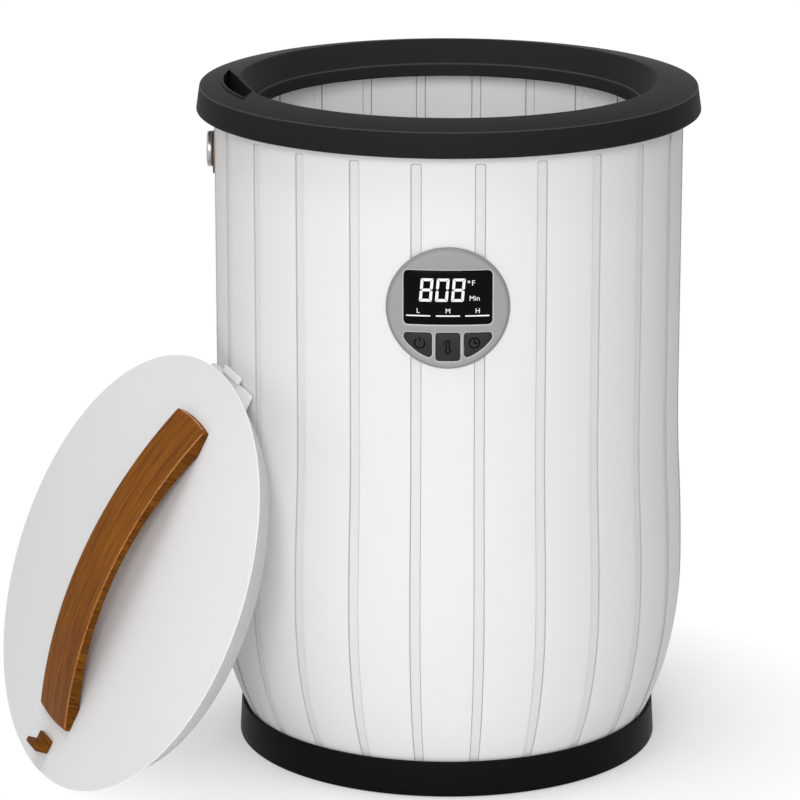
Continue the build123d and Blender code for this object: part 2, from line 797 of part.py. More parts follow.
def lid_tab():
    # a flat ear that comes through a slot in the skirt, with a raised tongue along its outer edge
    low_z = -EAR_TOP - EAR_T
    low_corner = (Align.MIN, Align.CENTER, Align.MIN)
    ear = Pos(0, 0, low_z) * Box(EAR_REACH, EAR_W, EAR_T, align=low_corner)
    ear = fillet(ear.edges().filter_by(Axis.Z).group_by(Axis.X)[-1], EAR_ROUND)
    ear = ear - disc(tray_radius() + FIT, -LID_DEPTH, 0)
    tongue = Pos(EAR_REACH, 0, -TAB_TOP - TAB_T) * Box(TAB_REACH - EAR_REACH, TAB_W, TAB_T, align=low_corner)
    tongue = fillet(tongue.edges().group_by(Axis.X)[-1], LID_EDGE)
    return ear + tongue


def arc_under(half_span, rise):
    # radius of the arc that rises by rise over a chord of twice half_span
    return (half_span**2 + rise**2) / (2 * rise)


def lid_handle():
    half = HANDLE_L / 2
    top_r = arc_under(half, HANDLE_PEAK - HANDLE_END_H)
    low_r = arc_under(HANDLE_SPAN / 2, HANDLE_GAP)
    side = Plane(origin=(0, -HANDLE_W / 2, 0), x_dir=(1, 0, 0), z_dir=(0, 1, 0))
    bow = Pos(0, -(HANDLE_PEAK - top_r)) * Circle(top_r)
    hollow = Pos(0, -(HANDLE_GAP - low_r)) * Circle(low_r)
    window = Pos(0, -HANDLE_PEAK) * Rectangle(HANDLE_L, 2 * HANDLE_PEAK)
    strip = (bow & window) - hollow
    handle = extrude(side * strip, HANDLE_W) & Rot(0, 0, 90) * disc(half, 0, HANDLE_PEAK)
    top_edges = handle.faces().sort_by(Axis.Z)[-1].edges().filter_by(GeomType.CIRCLE)
    handle = fillet(top_edges, HANDLE_EDGE)
    pilots = [
        Pos(x, y, 0) * Cylinder(WOOD_SCREW_R + THIN_FIT / 2, 2 * WOOD_SCREW_GRIP + 2 * FIT)
        for x, y in handle_screw_spots()
    ]
    return Pos(0, 0, FIT) * handle - pilots


def handle_screw_spots():
    return [(x, y) for x in (-HANDLE_SCREW_X, HANDLE_SCREW_X) for y in (-HANDLE_SCREW_Y, HANDLE_SCREW_Y)]


def hook_screw_spots():
    return [(-(HOOK_IN + HOOK_OUT - HOOK_LIP) / 2, 0)]


def wood_screws(spots):
    screws = []
    for x, y in spots:
        shank = standing(x, y, -LID_WALL, WOOD_SCREW_R, LID_WALL + WOOD_SCREW_GRIP)
        head = standing(x, y, -LID_WALL - WOOD_SCREW_HEAD_T, WOOD_SCREW_HEAD_R, WOOD_SCREW_HEAD_T)
        screws.append(shank + head)
    return Compound(children=screws)


def lid_hook():
    side = Plane(origin=(0, -HOOK_W / 2, 0), x_dir=(1, 0, 0), z_dir=(0, 1, 0))
    outline = make_face(
        Polyline(
            (-HOOK_OUT, 0),
            (-HOOK_IN, 0),
            (-HOOK_IN, -HOOK_BASE),
            (-HOOK_OUT + HOOK_LIP, -HOOK_BASE),
            (-HOOK_OUT + HOOK_LIP, -HOOK_H),
            (-HOOK_OUT, -HOOK_H),
            close=True,
        )
    )
    hook = extrude(side * outline, HOOK_W)
    hook = fillet(hook.faces().sort_by(Axis.Z)[-1].edges(), HOOK_ROUND)
    pilots = [
        Pos(x, y, 0) * Cylinder(WOOD_SCREW_R + THIN_FIT / 2, 2 * WOOD_SCREW_GRIP + 2 * FIT)
        for x, y in hook_screw_spots()
    ]
    return Pos(0, 0, FIT) * hook - pilots


# ---------------------------------------------------------------- where the lid leans


def lean_parts(x, y, z):
    # a point of the lid's own frame as distance out along the lean, sideways and height
    tilt = math.radians(LEAN_TILT)
    roll = math.radians(LEAN_ROLL)
    across = x * math.sin(roll) - y * math.cos(roll)
    uphill = x * math.cos(roll) + y * math.sin(roll)
    out = z * math.cos(tilt) - uphill * math.sin(tilt)
    height = z * math.sin(tilt) + uphill * math.cos(tilt)
    return out, across, height


def lid_outline_points():
    # the edges that can touch the floor or the shell
    points = []
    for degree in range(0, 360, 2):
        angle = math.radians(degree)
        for radius, depth in (
            (LID_R - LID_EDGE, 0.0),
            (LID_R, LID_EDGE),
            (SKIRT_R, LID_DEPTH),
            (SKIRT_R - THIN_FIT, LID_DEPTH + SEAL_T),
        ):
            points.append((radius * math.cos(angle), radius * math.sin(angle), -depth))
    for step in range(-10, 11):
        points.append((EAR_REACH, step / 10 * EAR_W / 2, -EAR_TOP - EAR_T))
        points.append((TAB_REACH, step / 10 * TAB_W / 2, -TAB_TOP - TAB_T))
    return points


def lean_plane():
    placed = [lean_parts(*point) for point in lid_outline_points()]
    height = -min(point[2] for point in placed)
    reach = 0.0
    for out, across, up in placed:
        radius = shell_radius(height + up) + LEAN_GAP
        side = LEAN_SIDE + across
        if abs(side) < radius:
            reach = max(reach, math.sqrt(radius**2 - side**2) - out)
    azimuth = math.radians(LEAN_AZ)
    tilt = math.radians(LEAN_TILT)
    roll = math.radians(LEAN_ROLL)
    away = Vector(math.cos(azimuth), math.sin(azimuth), 0)
    across = Vector(-math.sin(azimuth), math.cos(azimuth), 0)
    normal = away * math.cos(tilt) + Vector(0, 0, math.sin(tilt))
    uphill = Vector(0, 0, math.cos(tilt)) - away * math.sin(tilt)
    tab_way = across * math.sin(roll) + uphill * math.cos(roll)
    origin = away * reach + across * LEAN_SIDE + Vector(0, 0, height)
    return Plane(origin=origin, x_dir=tab_way, z_dir=normal)


# ---------------------------------------------------------------- write every piece

os.makedirs("parts", exist_ok=True)

BUCKET_PIECES = {
    "outer_shell": outer_shell,
    "base_ring": base_ring,
    "bottom_cover": bottom_cover,
    "rubber_feet": rubber_feet,
    "bottom_screws": bottom_screws,
    "cord_inlet": cord_inlet,
    "inner_bucket": inner_bucket,
    "rim_gasket": rim_gasket,
    "heating_film": heating_film,
    "insulation_sleeve": insulation_sleeve,
    "overheat_cutout": overheat_cutout,
    "temperature_sensor": temperature_sensor,
    "power_board": power_board,
    "top_rim": top_rim,
    "control_bezel": control_bezel,
    "display_window": display_window,
    "display_module": display_module,
    "power_button": power_button,
    "temperature_button": temperature_button,
    "timer_button": timer_button,
    "key_switches": key_switches,
    "control_board": control_board,
    "board_screws": board_screws,
    "stud_pad": stud_pad,
    "side_stud": side_stud,
}

LID_PIECES = {
    "lid_cover": lid_cover,
    "lid_liner": lid_liner,
    "lid_foam": lid_foam,
    "lid_seal": lid_seal,
    "lid_tab": lid_tab,
    "lid_handle": lid_handle,
    "lid_hook": lid_hook,
    "handle_screws": lambda: wood_screws(handle_screw_spots()),
    "hook_screws": lambda: wood_screws(hook_screw_spots()),
}

for node, make in BUCKET_PIECES.items():
    write(node, make())

leaning = lean_plane()
for node, make in LID_PIECES.items():
    write(node, leaning.location * make())
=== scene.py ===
"""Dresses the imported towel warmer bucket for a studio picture. All sizes are in metres, and the
bucket's axis is Z, with the control panel towards -Y and the lid leaning at -X."""

import math

import bmesh
import bpy
from bpy.props import FloatProperty, FloatVectorProperty, IntProperty, PointerProperty
from bpy.types import Operator, Panel, PropertyGroup
from mathutils import Euler, Matrix, Vector


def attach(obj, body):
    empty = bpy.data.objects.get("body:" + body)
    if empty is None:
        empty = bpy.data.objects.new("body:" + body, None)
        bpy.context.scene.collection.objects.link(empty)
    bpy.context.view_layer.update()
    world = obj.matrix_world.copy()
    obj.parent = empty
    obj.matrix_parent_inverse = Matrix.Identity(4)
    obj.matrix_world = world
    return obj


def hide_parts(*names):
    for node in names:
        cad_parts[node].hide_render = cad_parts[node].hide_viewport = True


bl_info = {
    "name": "Towel Warmer Bucket",
    "version": (1, 0, 0),
    "blender": (4, 5, 0),
    "location": "View3D > Sidebar > Towel Bucket",
    "description": "Shell, rim, control panel, lid and stage of a towel warmer bucket",
    "category": "Object",
}

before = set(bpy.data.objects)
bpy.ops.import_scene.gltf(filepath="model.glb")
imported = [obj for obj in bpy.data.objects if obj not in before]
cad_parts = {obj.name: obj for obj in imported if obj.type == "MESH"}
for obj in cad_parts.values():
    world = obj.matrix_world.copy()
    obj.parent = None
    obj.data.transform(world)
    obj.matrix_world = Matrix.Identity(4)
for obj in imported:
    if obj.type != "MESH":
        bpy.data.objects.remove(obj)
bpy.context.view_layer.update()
MM = 0.001
FULL_TURN = 2.0 * math.pi


# ------------------------------------------------------------------ what a user would change


def length(name, description, default):
    return FloatProperty(
        name=name, description=description, default=default * MM, min=0.0, unit="LENGTH", precision=5
    )


def strength(name, description, default):
    return FloatProperty(name=name, description=description, default=default, min=0.0)


def colour(name, description, default):
    return FloatVectorProperty(
        name=name, description=description, default=default, size=3, min=0.0, max=1.0, subtype="COLOR"
    )


class BucketSizes(PropertyGroup):
    body_radius: length("Body radius", "Outer radius of the straight neck of the shell", 148.6)
    neck_height: length("Neck height", "Where the straight neck starts", 236.0)
    belly_radius: length("Belly radius", "Outer radius at the widest height", 152.0)
    belly_height: length("Belly height", "Height of the widest ring", 120.0)
    turn_radius: length("Turn radius", "Radius where the foot's curve tightens", 146.1)
    turn_height: length("Turn height", "Height where the foot's curve tightens", 64.0)
    foot_radius: length("Foot radius", "Radius where the shell enters the base ring", 131.9)
    shell_wall: length("Shell wall", "Thickness of the shell", 2.4)
    shell_top: length("Shell top", "Height of the shell's upper edge under the rim", 416.8)
    base_height: length("Base height", "Height of the black base ring", 22.8)
    base_radius: length("Base radius", "Radius of the base ring at the floor", 135.9)
    base_top_radius: length("Base top radius", "Radius of the base ring at its top", 134.7)
    band_count: IntProperty(name="Bands", description="Pressed bands round the shell", default=24, min=3)
    band_width: length("Band width", "Width of a pressed band at the neck", 6.6)
    band_depth: length("Band depth", "How deep a band is pressed", 0.9)
    band_top: length("Band top", "Height where the bands end", 409.0)
    lining_radius: length("Lining radius", "Inner radius of the lining", 141.4)
    lining_floor: length("Lining floor", "Height of the lining's floor", 48.0)
    rim_radius: length("Rim radius", "Outer radius of the rim", 160.0)
    rim_height: length("Rim height", "Height of the rim's crest", 434.3)
    crest_radius: length("Crest radius", "Radius of the rim's crest", 132.5)
    shoulder_radius: length("Shoulder radius", "Radius of the rim's outer shoulder", 157.7)
    shoulder_height: length("Shoulder height", "Height of the rim's outer shoulder", 430.2)
    rim_low: length("Rim low", "Height of the rim's lower edge", 414.3)
    rim_wall: length("Rim wall", "Thickness of the rim", 2.4)
    funnel_radius: length("Funnel radius", "Radius of the crease inside the rim", 122.0)
    funnel_height: length("Funnel height", "Height of the crease inside the rim", 419.6)
    mouth_radius: length("Mouth radius", "Radius of the rim's lower inner edge", 119.4)
    mouth_height: length("Mouth height", "Height of the rim's lower inner edge", 412.2)


class PanelSizes(PropertyGroup):
    height: length("Panel height", "Height of the panel's centre", 320.3)
    radius: length("Panel radius", "Radius of the round panel", 37.8)
    proud: length("Panel proud", "How far the panel stands off the shell", 2.4)
    window_width: length("Window width", "Width of the display window", 53.6)
    window_top: length("Window top", "Upper edge of the window over the centre", 23.5)
    window_bottom: length("Window bottom", "Lower edge of the window under the centre", 9.8)
    key_top: length("Button top", "Upper edge of the buttons under the centre", 15.3)


class LidSizes(PropertyGroup):
    radius: length("Lid radius", "Radius of the lid's top plate", 142.5)
    depth: length("Lid depth", "Height of the lid's skirt", 17.0)
    skirt_radius: length("Skirt radius", "Radius of the skirt's lower edge", 129.0)
    ear_reach: length("Ear reach", "How far the ear's edge is from the lid's centre", 140.3)
    ear_width: length("Ear width", "Width of the ear", 56.0)
    tongue_reach: length("Tongue reach", "How far the raised tongue reaches", 145.2)
    tongue_width: length("Tongue width", "Width of the raised tongue", 22.2)
    handle_length: length("Handle length", "Length of the wooden handle", 217.0)
    handle_width: length("Handle width", "Width of the wooden handle", 40.0)
    handle_peak: length("Handle peak", "Height of the handle's top over the lid", 23.2)
    handle_gap: length("Handle gap", "Height of the finger gap under the handle", 18.2)


class BucketColours(PropertyGroup):
    white: colour("White shell", "Colour of the shell and the lid", (0.83, 0.83, 0.83))
    lining: colour("Lining", "Colour of the lining", (0.94, 0.94, 0.94))
    rim: colour("Black rim", "Colour of the rim", (0.018, 0.018, 0.0184))
    black: colour("Black base", "Colour of the base ring", (0.0065, 0.0065, 0.0067))
    panel: colour("Panel grey", "Colour of the round panel", (0.34, 0.34, 0.34))
    button: colour("Button", "Colour of the three buttons", (0.021, 0.021, 0.021))
    wood_light: colour("Light wood", "Light grain of the handle and hook", (0.30, 0.104, 0.012))
    wood_dark: colour("Dark wood", "Dark grain of the handle and hook", (0.115, 0.034, 0.005))
    leather: colour("Leather", "Colour of the pad behind the stud", (0.21, 0.105, 0.045))
    metal: colour("Stud metal", "Colour of the side stud", (0.44, 0.44, 0.45))
    glow: colour("Display glow", "Colour of the lit signs", (1.0, 1.0, 1.0))


class StageSettings(PropertyGroup):
    ambient: strength("Ambient", "Strength of the light from all round", 0.25)
    front_power: strength("Front light", "Power of the front light in watts", 33.0)
    top_power: strength("Top light", "Power of the top light in watts", 20.0)
    left_power: strength("Left light", "Power of the left light in watts", 0.5)
    floor: colour("Floor", "Colour of the floor", (0.97, 0.97, 0.97))


# ------------------------------------------------------------------ where the lid leans

LEAN_TILT = math.radians(23.4)
LEAN_AZIMUTH = math.radians(211.6)
LEAN_ROLL = math.radians(9.8)
LEAN_ORIGIN = Vector((-203.299, -80.338, 130.978)) * MM


def lid_matrix():
    """The lid's own frame: +x towards the tab, +z out of its top face."""
    away = Vector((math.cos(LEAN_AZIMUTH), math.sin(LEAN_AZIMUTH), 0.0))
    across = Vector((-math.sin(LEAN_AZIMUTH), math.cos(LEAN_AZIMUTH), 0.0))
    up = Vector((0.0, 0.0, 1.0))
    normal = away * math.cos(LEAN_TILT) + up * math.sin(LEAN_TILT)
    uphill = up * math.cos(LEAN_TILT) - away * math.sin(LEAN_TILT)
    tab_way = across * math.sin(LEAN_ROLL) + uphill * math.cos(LEAN_ROLL)
    side = normal.cross(tab_way)
    turn = Matrix((tab_way, side, normal)).transposed().to_4x4()
    return Matrix.Translation(LEAN_ORIGIN) @ turn


# ------------------------------------------------------------------ finishes

STEEL = (0.55, 0.55, 0.56)


def fresh_material(name):
    material = bpy.data.materials.new(name)
    material.use_nodes = True
    tree = material.node_tree
    return material, tree, tree.nodes["Principled BSDF"]


def add_node(tree, kind, **values):
    node = tree.nodes.new(kind)
    for key, value in values.items():
        if key in node.inputs:
            node.inputs[key].default_value = value
        else:
            setattr(node, key, value)
    return node


def place(tree, scale=(1.0, 1.0, 1.0), matrix=None):
    """Object coordinates, turned into a piece's own frame by the inverse of its matrix, then stretched."""
    source = add_node(tree, "ShaderNodeTexCoord").outputs["Object"]
    if matrix is not None:
        inverse = matrix.inverted()
        turned = add_node(tree, "ShaderNodeMapping")
        turned.inputs["Location"].default_value = inverse.translation
        turned.inputs["Rotation"].default_value = inverse.to_euler()
        tree.links.new(source, turned.inputs["Vector"])
        source = turned.outputs["Vector"]
    stretched = add_node(tree, "ShaderNodeMapping")
    stretched.inputs["Scale"].default_value = scale
    tree.links.new(source, stretched.inputs["Vector"])
    return stretched.outputs["Vector"]


def grain(tree, vector, scale, detail=2.0, roughness=0.5, distortion=0.0):
    noise = add_node(tree, "ShaderNodeTexNoise")
    noise.inputs["Scale"].default_value = scale
    noise.inputs["Detail"].default_value = detail
    noise.inputs["Roughness"].default_value = roughness
    noise.inputs["Distortion"].default_value = distortion
    tree.links.new(vector, noise.inputs["Vector"])
    return noise.outputs["Fac"]


def shades(tree, factor, stops):
    ramp = add_node(tree, "ShaderNodeValToRGB")
    elements = ramp.color_ramp.elements
    elements[0].position, elements[0].color = stops[0][0], (*stops[0][1], 1.0)
    elements[1].position, elements[1].color = stops[-1][0], (*stops[-1][1], 1.0)
    for position, tint in stops[1:-1]:
        elements.new(position).color = (*tint, 1.0)
    tree.links.new(factor, ramp.inputs["Fac"])
    return ramp.outputs["Color"]


def spread(tree, factor, low, high):
    """Turns a 0 to 1 factor into a range, for roughness."""
    ranged = add_node(tree, "ShaderNodeMapRange")
    ranged.inputs["To Min"].default_value = low
    ranged.inputs["To Max"].default_value = high
    tree.links.new(factor, ranged.inputs["Value"])
    return ranged.outputs["Result"]


def relief(tree, bsdf, height, share, distance):
    """Raises the surface by the height, up to this distance, at this share of the full effect."""
    bump = add_node(tree, "ShaderNodeBump")
    bump.inputs["Strength"].default_value = share
    bump.inputs["Distance"].default_value = distance
    tree.links.new(height, bump.inputs["Height"])
    tree.links.new(bump.outputs["Normal"], bsdf.inputs["Normal"])


def tinted(base, amount, most=1.0):
    """A colour times an amount, with no channel over the most."""
    return tuple(min(most, channel * amount) for channel in base)


def moulded_plastic(name, base, roughness, fleck=0.02, grain_size=0.0006, depth=0.00002, shine=0.3):
    """Moulded plastic with a fine spark-eroded grain and slightly uneven gloss."""
    material, tree, bsdf = fresh_material(name)
    vector = place(tree)
    broad = grain(tree, vector, 9.0, 3.0)
    fine = grain(tree, vector, 1.0 / grain_size, 2.0, 0.6)
    tint = shades(tree, broad, [(0.3, tinted(base, 1.0 - fleck)), (0.7, tinted(base, 1.0 + fleck))])
    tree.links.new(tint, bsdf.inputs["Base Color"])
    tree.links.new(spread(tree, broad, roughness - 0.04, roughness + 0.04), bsdf.inputs["Roughness"])
    relief(tree, bsdf, fine, 0.25, depth)
    bsdf.inputs["Specular IOR Level"].default_value = shine
    return material


def brushed_metal(name, base, stretch=(1.0, 1.0, 60.0), roughness=0.3):
    material, tree, bsdf = fresh_material(name)
    lines = grain(tree, place(tree, stretch), 900.0, 3.0, 0.65)
    tint = shades(tree, lines, [(0.25, tinted(base, 0.86)), (0.75, tinted(base, 1.08))])
    tree.links.new(tint, bsdf.inputs["Base Color"])
    tree.links.new(spread(tree, lines, roughness - 0.08, roughness + 0.10), bsdf.inputs["Roughness"])
    relief(tree, bsdf, lines, 0.3, 0.00002)
    bsdf.inputs["Metallic"].default_value = 1.0
    return material


def oiled_wood(name, light, dark, matrix, along=(0.04, 1.0, 0.04), shine=0.04):
    """Grain with fine pores. along says how quickly it changes along the lid's x, y and z."""
    material, tree, bsdf = fresh_material(name)
    rings = grain(tree, place(tree, tinted(along, 60.0, 1000.0), matrix), 3.0, 5.0, 0.62, 0.4)
    pores = grain(tree, place(tree, tinted(along, 560.0, 1000.0), matrix), 1.6, 3.0, 0.7)
    mixed = add_node(tree, "ShaderNodeMix", data_type="FLOAT")
    mixed.inputs[0].default_value = 0.62
    tree.links.new(rings, mixed.inputs[2])
    tree.links.new(pores, mixed.inputs[3])
    factor = mixed.outputs[0]
    middle = tuple((a + b) / 2 for a, b in zip(light, dark))
    tint = shades(tree, factor, [(0.37, dark), (0.5, middle), (0.63, light)])
    tree.links.new(tint, bsdf.inputs["Base Color"])
    tree.links.new(spread(tree, pores, 0.36, 0.55), bsdf.inputs["Roughness"])
    relief(tree, bsdf, factor, 0.5, 0.00012)
    bsdf.inputs["Specular IOR Level"].default_value = shine
    return material


def grained_leather(name, base):
    material, tree, bsdf = fresh_material(name)
    cells = add_node(tree, "ShaderNodeTexVoronoi", feature="DISTANCE_TO_EDGE")
    cells.inputs["Scale"].default_value = 900.0
    tree.links.new(place(tree), cells.inputs["Vector"])
    edge = cells.outputs["Distance"]
    tint = shades(tree, edge, [(0.0, tinted(base, 0.45)), (0.35, base)])
    tree.links.new(tint, bsdf.inputs["Base Color"])
    relief(tree, bsdf, edge, 0.6, 0.0001)
    bsdf.inputs["Roughness"].default_value = 0.6
    return material


def dark_glass(name):
    """The smoked window over the display: black, glossy, with the faintest orange peel."""
    material, tree, bsdf = fresh_material(name)
    ripple = grain(tree, place(tree), 60.0, 2.0)
    tint = shades(tree, ripple, [(0.3, (0.0020, 0.0020, 0.0022)), (0.7, (0.0030, 0.0030, 0.0032))])
    tree.links.new(tint, bsdf.inputs["Base Color"])
    tree.links.new(spread(tree, ripple, 0.10, 0.16), bsdf.inputs["Roughness"])
    relief(tree, bsdf, ripple, 0.05, 0.00002)
    bsdf.inputs["Specular IOR Level"].default_value = 0.05
    return material


def lit_sign(name, glow):
    material, tree, bsdf = fresh_material(name)
    uneven = grain(tree, place(tree), 300.0, 1.0)
    tint = shades(tree, uneven, [(0.3, tinted(glow, 0.93)), (0.7, glow)])
    tree.links.new(tint, bsdf.inputs["Emission Color"])
    bsdf.inputs["Base Color"].default_value = (0.02, 0.02, 0.02, 1.0)
    bsdf.inputs["Emission Strength"].default_value = 1.0
    bsdf.inputs["Roughness"].default_value = 0.5
    return material


def soft_rubber(name, base):
    return moulded_plastic(name, base, 0.82, fleck=0.08, grain_size=0.0004, depth=0.00004)


def pressed_felt(name, base):
    material, tree, bsdf = fresh_material(name)
    fibres = grain(tree, place(tree), 700.0, 6.0, 0.75, 1.5)
    tint = shades(tree, fibres, [(0.3, tinted(base, 0.6)), (0.7, tinted(base, 1.15))])
    tree.links.new(tint, bsdf.inputs["Base Color"])
    relief(tree, bsdf, fibres, 0.8, 0.0004)
    bsdf.inputs["Roughness"].default_value = 0.95
    return material


def circuit_board(name):
    material, tree, bsdf = fresh_material(name)
    cells = add_node(tree, "ShaderNodeTexVoronoi", feature="F1", distance="MANHATTAN")
    cells.inputs["Scale"].default_value = 260.0
    tree.links.new(place(tree), cells.inputs["Vector"])
    tint = shades(tree, cells.outputs["Distance"], [(0.35, (0.02, 0.12, 0.05)), (0.6, (0.03, 0.20, 0.09))])
    tree.links.new(tint, bsdf.inputs["Base Color"])
    bsdf.inputs["Roughness"].default_value = 0.35
    return material


# ------------------------------------------------------------------ mesh tools


def soften(bm, edges, width, segments=3):
    return bmesh.ops.bevel(
        bm,
        geom=edges,
        offset=width,
        offset_type="OFFSET",
        segments=segments,
        profile=0.5,
        affect="EDGES",
        material=-1,
        clamp_overlap=True,
    )


def ring_edges(bm, radius, height):
    """The edges of the ring at this radius and height."""
    slack = 0.00002

    def on_ring(vert):
        return abs(math.hypot(vert.co.x, vert.co.y) - radius) < slack and abs(vert.co.z - height) < slack

    return [edge for edge in bm.edges if all(on_ring(vert) for vert in edge.verts)]


def lathe(points, steps=180):
    """A closed solid of revolution about Z, from the corners of its section."""
    bm = bmesh.new()
    verts = [bm.verts.new((radius, 0.0, height)) for radius, height in points]
    edges = [bm.edges.new(pair) for pair in zip(verts, verts[1:] + verts[:1])]
    bmesh.ops.spin(
        bm,
        geom=verts + edges,
        cent=(0.0, 0.0, 0.0),
        axis=(0.0, 0.0, 1.0),
        dvec=(0.0, 0.0, 0.0),
        angle=FULL_TURN,
        steps=steps,
        use_merge=True,
        use_duplicate=False,
    )
    close_up(bm)
    return bm


def close_up(bm):
    bmesh.ops.remove_doubles(bm, verts=bm.verts, dist=0.000002)
    bmesh.ops.dissolve_degenerate(bm, edges=bm.edges, dist=0.0000005)
    loose = [edge for edge in bm.edges if not edge.link_faces]
    bmesh.ops.delete(bm, geom=loose, context="EDGES")
    bmesh.ops.recalc_face_normals(bm, faces=bm.faces)


def verts_of(geometry):
    return [item for item in geometry if isinstance(item, bmesh.types.BMVert)]


def pushed(bm, faces, move):
    """Extrudes the faces by a move, and gives back what has grown."""
    grown = bmesh.ops.extrude_face_region(bm, geom=faces)["geom"]
    bmesh.ops.translate(bm, verts=verts_of(grown), vec=move)
    return grown


def turn_about_z(bm, verts, angle):
    bmesh.ops.rotate(bm, verts=verts, cent=(0, 0, 0), matrix=Matrix.Rotation(angle, 3, "Z"))


def slab(bm, outline, near, far):
    """A plate from an outline of (x, z) corners, between the depths near and far along y."""
    face = bm.faces.new([bm.verts.new((x, near, z)) for x, z in outline])
    pushed(bm, [face], (0.0, far - near, 0.0))
    bmesh.ops.recalc_face_normals(bm, faces=bm.faces)


def prism(outline, near, far):
    bm = bmesh.new()
    slab(bm, outline, near, far)
    return bm


def rectangle(left, right, low, high):
    return [(left, low), (right, low), (right, high), (left, high)]


def oval(half_width, half_height, count):
    """The corners of an oval, which is a circle where both halves are alike."""
    turns = [FULL_TURN * step / count for step in range(count)]
    return [(half_width * math.cos(turn), half_height * math.sin(turn)) for turn in turns]


def arc(centre, radius, start, stop, count=6):
    """Points along an arc between two angles in degrees."""
    turns = [math.radians(start + (stop - start) * step / count) for step in range(count + 1)]
    return [(centre[0] + radius * math.cos(turn), centre[1] + radius * math.sin(turn)) for turn in turns]


def block(bm, low, high):
    """A box between two corners."""
    size = Vector(high) - Vector(low)
    middle = (Vector(high) + Vector(low)) / 2
    matrix = Matrix.Translation(middle) @ Matrix.Diagonal((*size, 1.0))
    return bmesh.ops.create_cube(bm, size=1.0, matrix=matrix)["verts"]


def mesh_from(bm, name):
    mesh = bpy.data.meshes.new(name)
    bm.to_mesh(mesh)
    bm.free()
    return mesh


def joined_solids(first, others, operation):
    """first, with each of the other solids cut out of it or added to it."""
    made = bpy.data.objects.new("solid", mesh_from(first, "solid"))
    bpy.context.scene.collection.objects.link(made)
    cutters = []
    for other in others:
        cutter = bpy.data.objects.new("cutter", mesh_from(other, "cutter"))
        bpy.context.scene.collection.objects.link(cutter)
        change = made.modifiers.new("cut", "BOOLEAN")
        change.operation = operation
        change.object = cutter
        change.solver = "EXACT"
        cutters.append(cutter)
    bpy.context.view_layer.update()
    evaluated = made.evaluated_get(bpy.context.evaluated_depsgraph_get())
    bm = bmesh.new()
    bm.from_mesh(evaluated.to_mesh())
    evaluated.to_mesh_clear()
    for thing in [made, *cutters]:
        mesh = thing.data
        bpy.data.objects.remove(thing)
        bpy.data.meshes.remove(mesh)
    return bm


def piece(name, bm, body, materials, stands_for=(), sharp=30.0):
    """A finished piece: smooth but for edges over the sharp angle, riding on its body. Its faces
    say which of the materials they wear."""
    limit = math.radians(sharp)
    for face in bm.faces:
        face.smooth = True
    for edge in bm.edges:
        edge.smooth = len(edge.link_faces) == 2 and edge.calc_face_angle(0.0) < limit
    made = bpy.data.objects.new(name, mesh_from(bm, name))
    for material in materials:
        made.data.materials.append(material)
    bpy.context.scene.collection.objects.link(made)
    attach(made, body)
    if stands_for:
        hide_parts(*stands_for)


def dress(node, material):
    """Gives a CAD node a finish, with its shape as it is."""
    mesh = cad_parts[node].data
    mesh.materials.clear()
    mesh.materials.append(material)


# ------------------------------------------------------------------ shell and lining

BAND_CORNER = 0.0018
BAND_EDGE_START = 0.00015
BAND_EDGE_RUN = 0.0007
LINING_WALL = 0.0016
LINING_CORNER = 0.032
LINING_LIP_RADIUS = 0.1482
LINING_BAND_DEPTH = 0.0006
LINING_BAND_LOW = 0.0925


def bend(points, heading, end, count):
    """Adds to points an arc that leaves the last one along heading and ends at end."""
    start = Vector(points[-1])
    chord = Vector(end) - start
    lean = heading.angle_signed(chord)
    if abs(lean) < 0.000001:
        points.append(tuple(end))
        return heading
    radius = chord.length / (2.0 * math.sin(lean))
    side = Vector((heading.y, -heading.x))
    centre = start + side * radius
    arm = start - centre
    for step in range(1, count + 1):
        turn = Matrix.Rotation(-2.0 * lean * step / count, 2)
        points.append(tuple(centre + turn @ arm))
    return Matrix.Rotation(-2.0 * lean, 2) @ heading


def shell_outline(sizes):
    """The shell's outer line as (radius, height), from under the rim down into the base ring."""
    top = sizes.band_top
    heights = [sizes.shell_top, top + 0.003, top + 0.0012, top + 0.0004]
    heights += [top - 0.0004 * step for step in range(0, 9)]
    heights += [top - 0.006, top - 0.02, top - 0.06, top - 0.11]
    points = [(sizes.body_radius, height) for height in heights]
    points.append((sizes.body_radius, sizes.neck_height))
    down = Vector((0.0, -1.0))
    half = ((sizes.body_radius + sizes.belly_radius) / 2, (sizes.neck_height + sizes.belly_height) / 2)
    heading = bend(points, down, half, 8)
    heading = bend(points, heading, (sizes.belly_radius, sizes.belly_height), 8)
    heading = bend(points, down, (sizes.turn_radius, sizes.turn_height), 8)
    bend(points, heading, (sizes.foot_radius, sizes.base_height), 10)
    points.append((sizes.foot_radius, sizes.base_height - 0.0035))
    return points


def band_dent(angle, height, radius, sizes, inner_low):
    """How far a band presses the wall in, from 0 to 1, at an angle from its middle."""
    half = sizes.band_width / sizes.body_radius / 2
    across = (abs(angle) - half) * radius
    above = height - sizes.band_top
    outside = Vector((max(across + BAND_CORNER, 0.0), max(above + BAND_CORNER, 0.0))).length - BAND_CORNER
    inside = min(max(across + BAND_CORNER, above + BAND_CORNER), 0.0)
    gap = outside + inside
    if inner_low is not None:
        gap = max(gap, inner_low - height)
    share = min(max((BAND_EDGE_START - gap) / BAND_EDGE_RUN, 0.0), 1.0)
    return share * share * (3.0 - 2.0 * share)


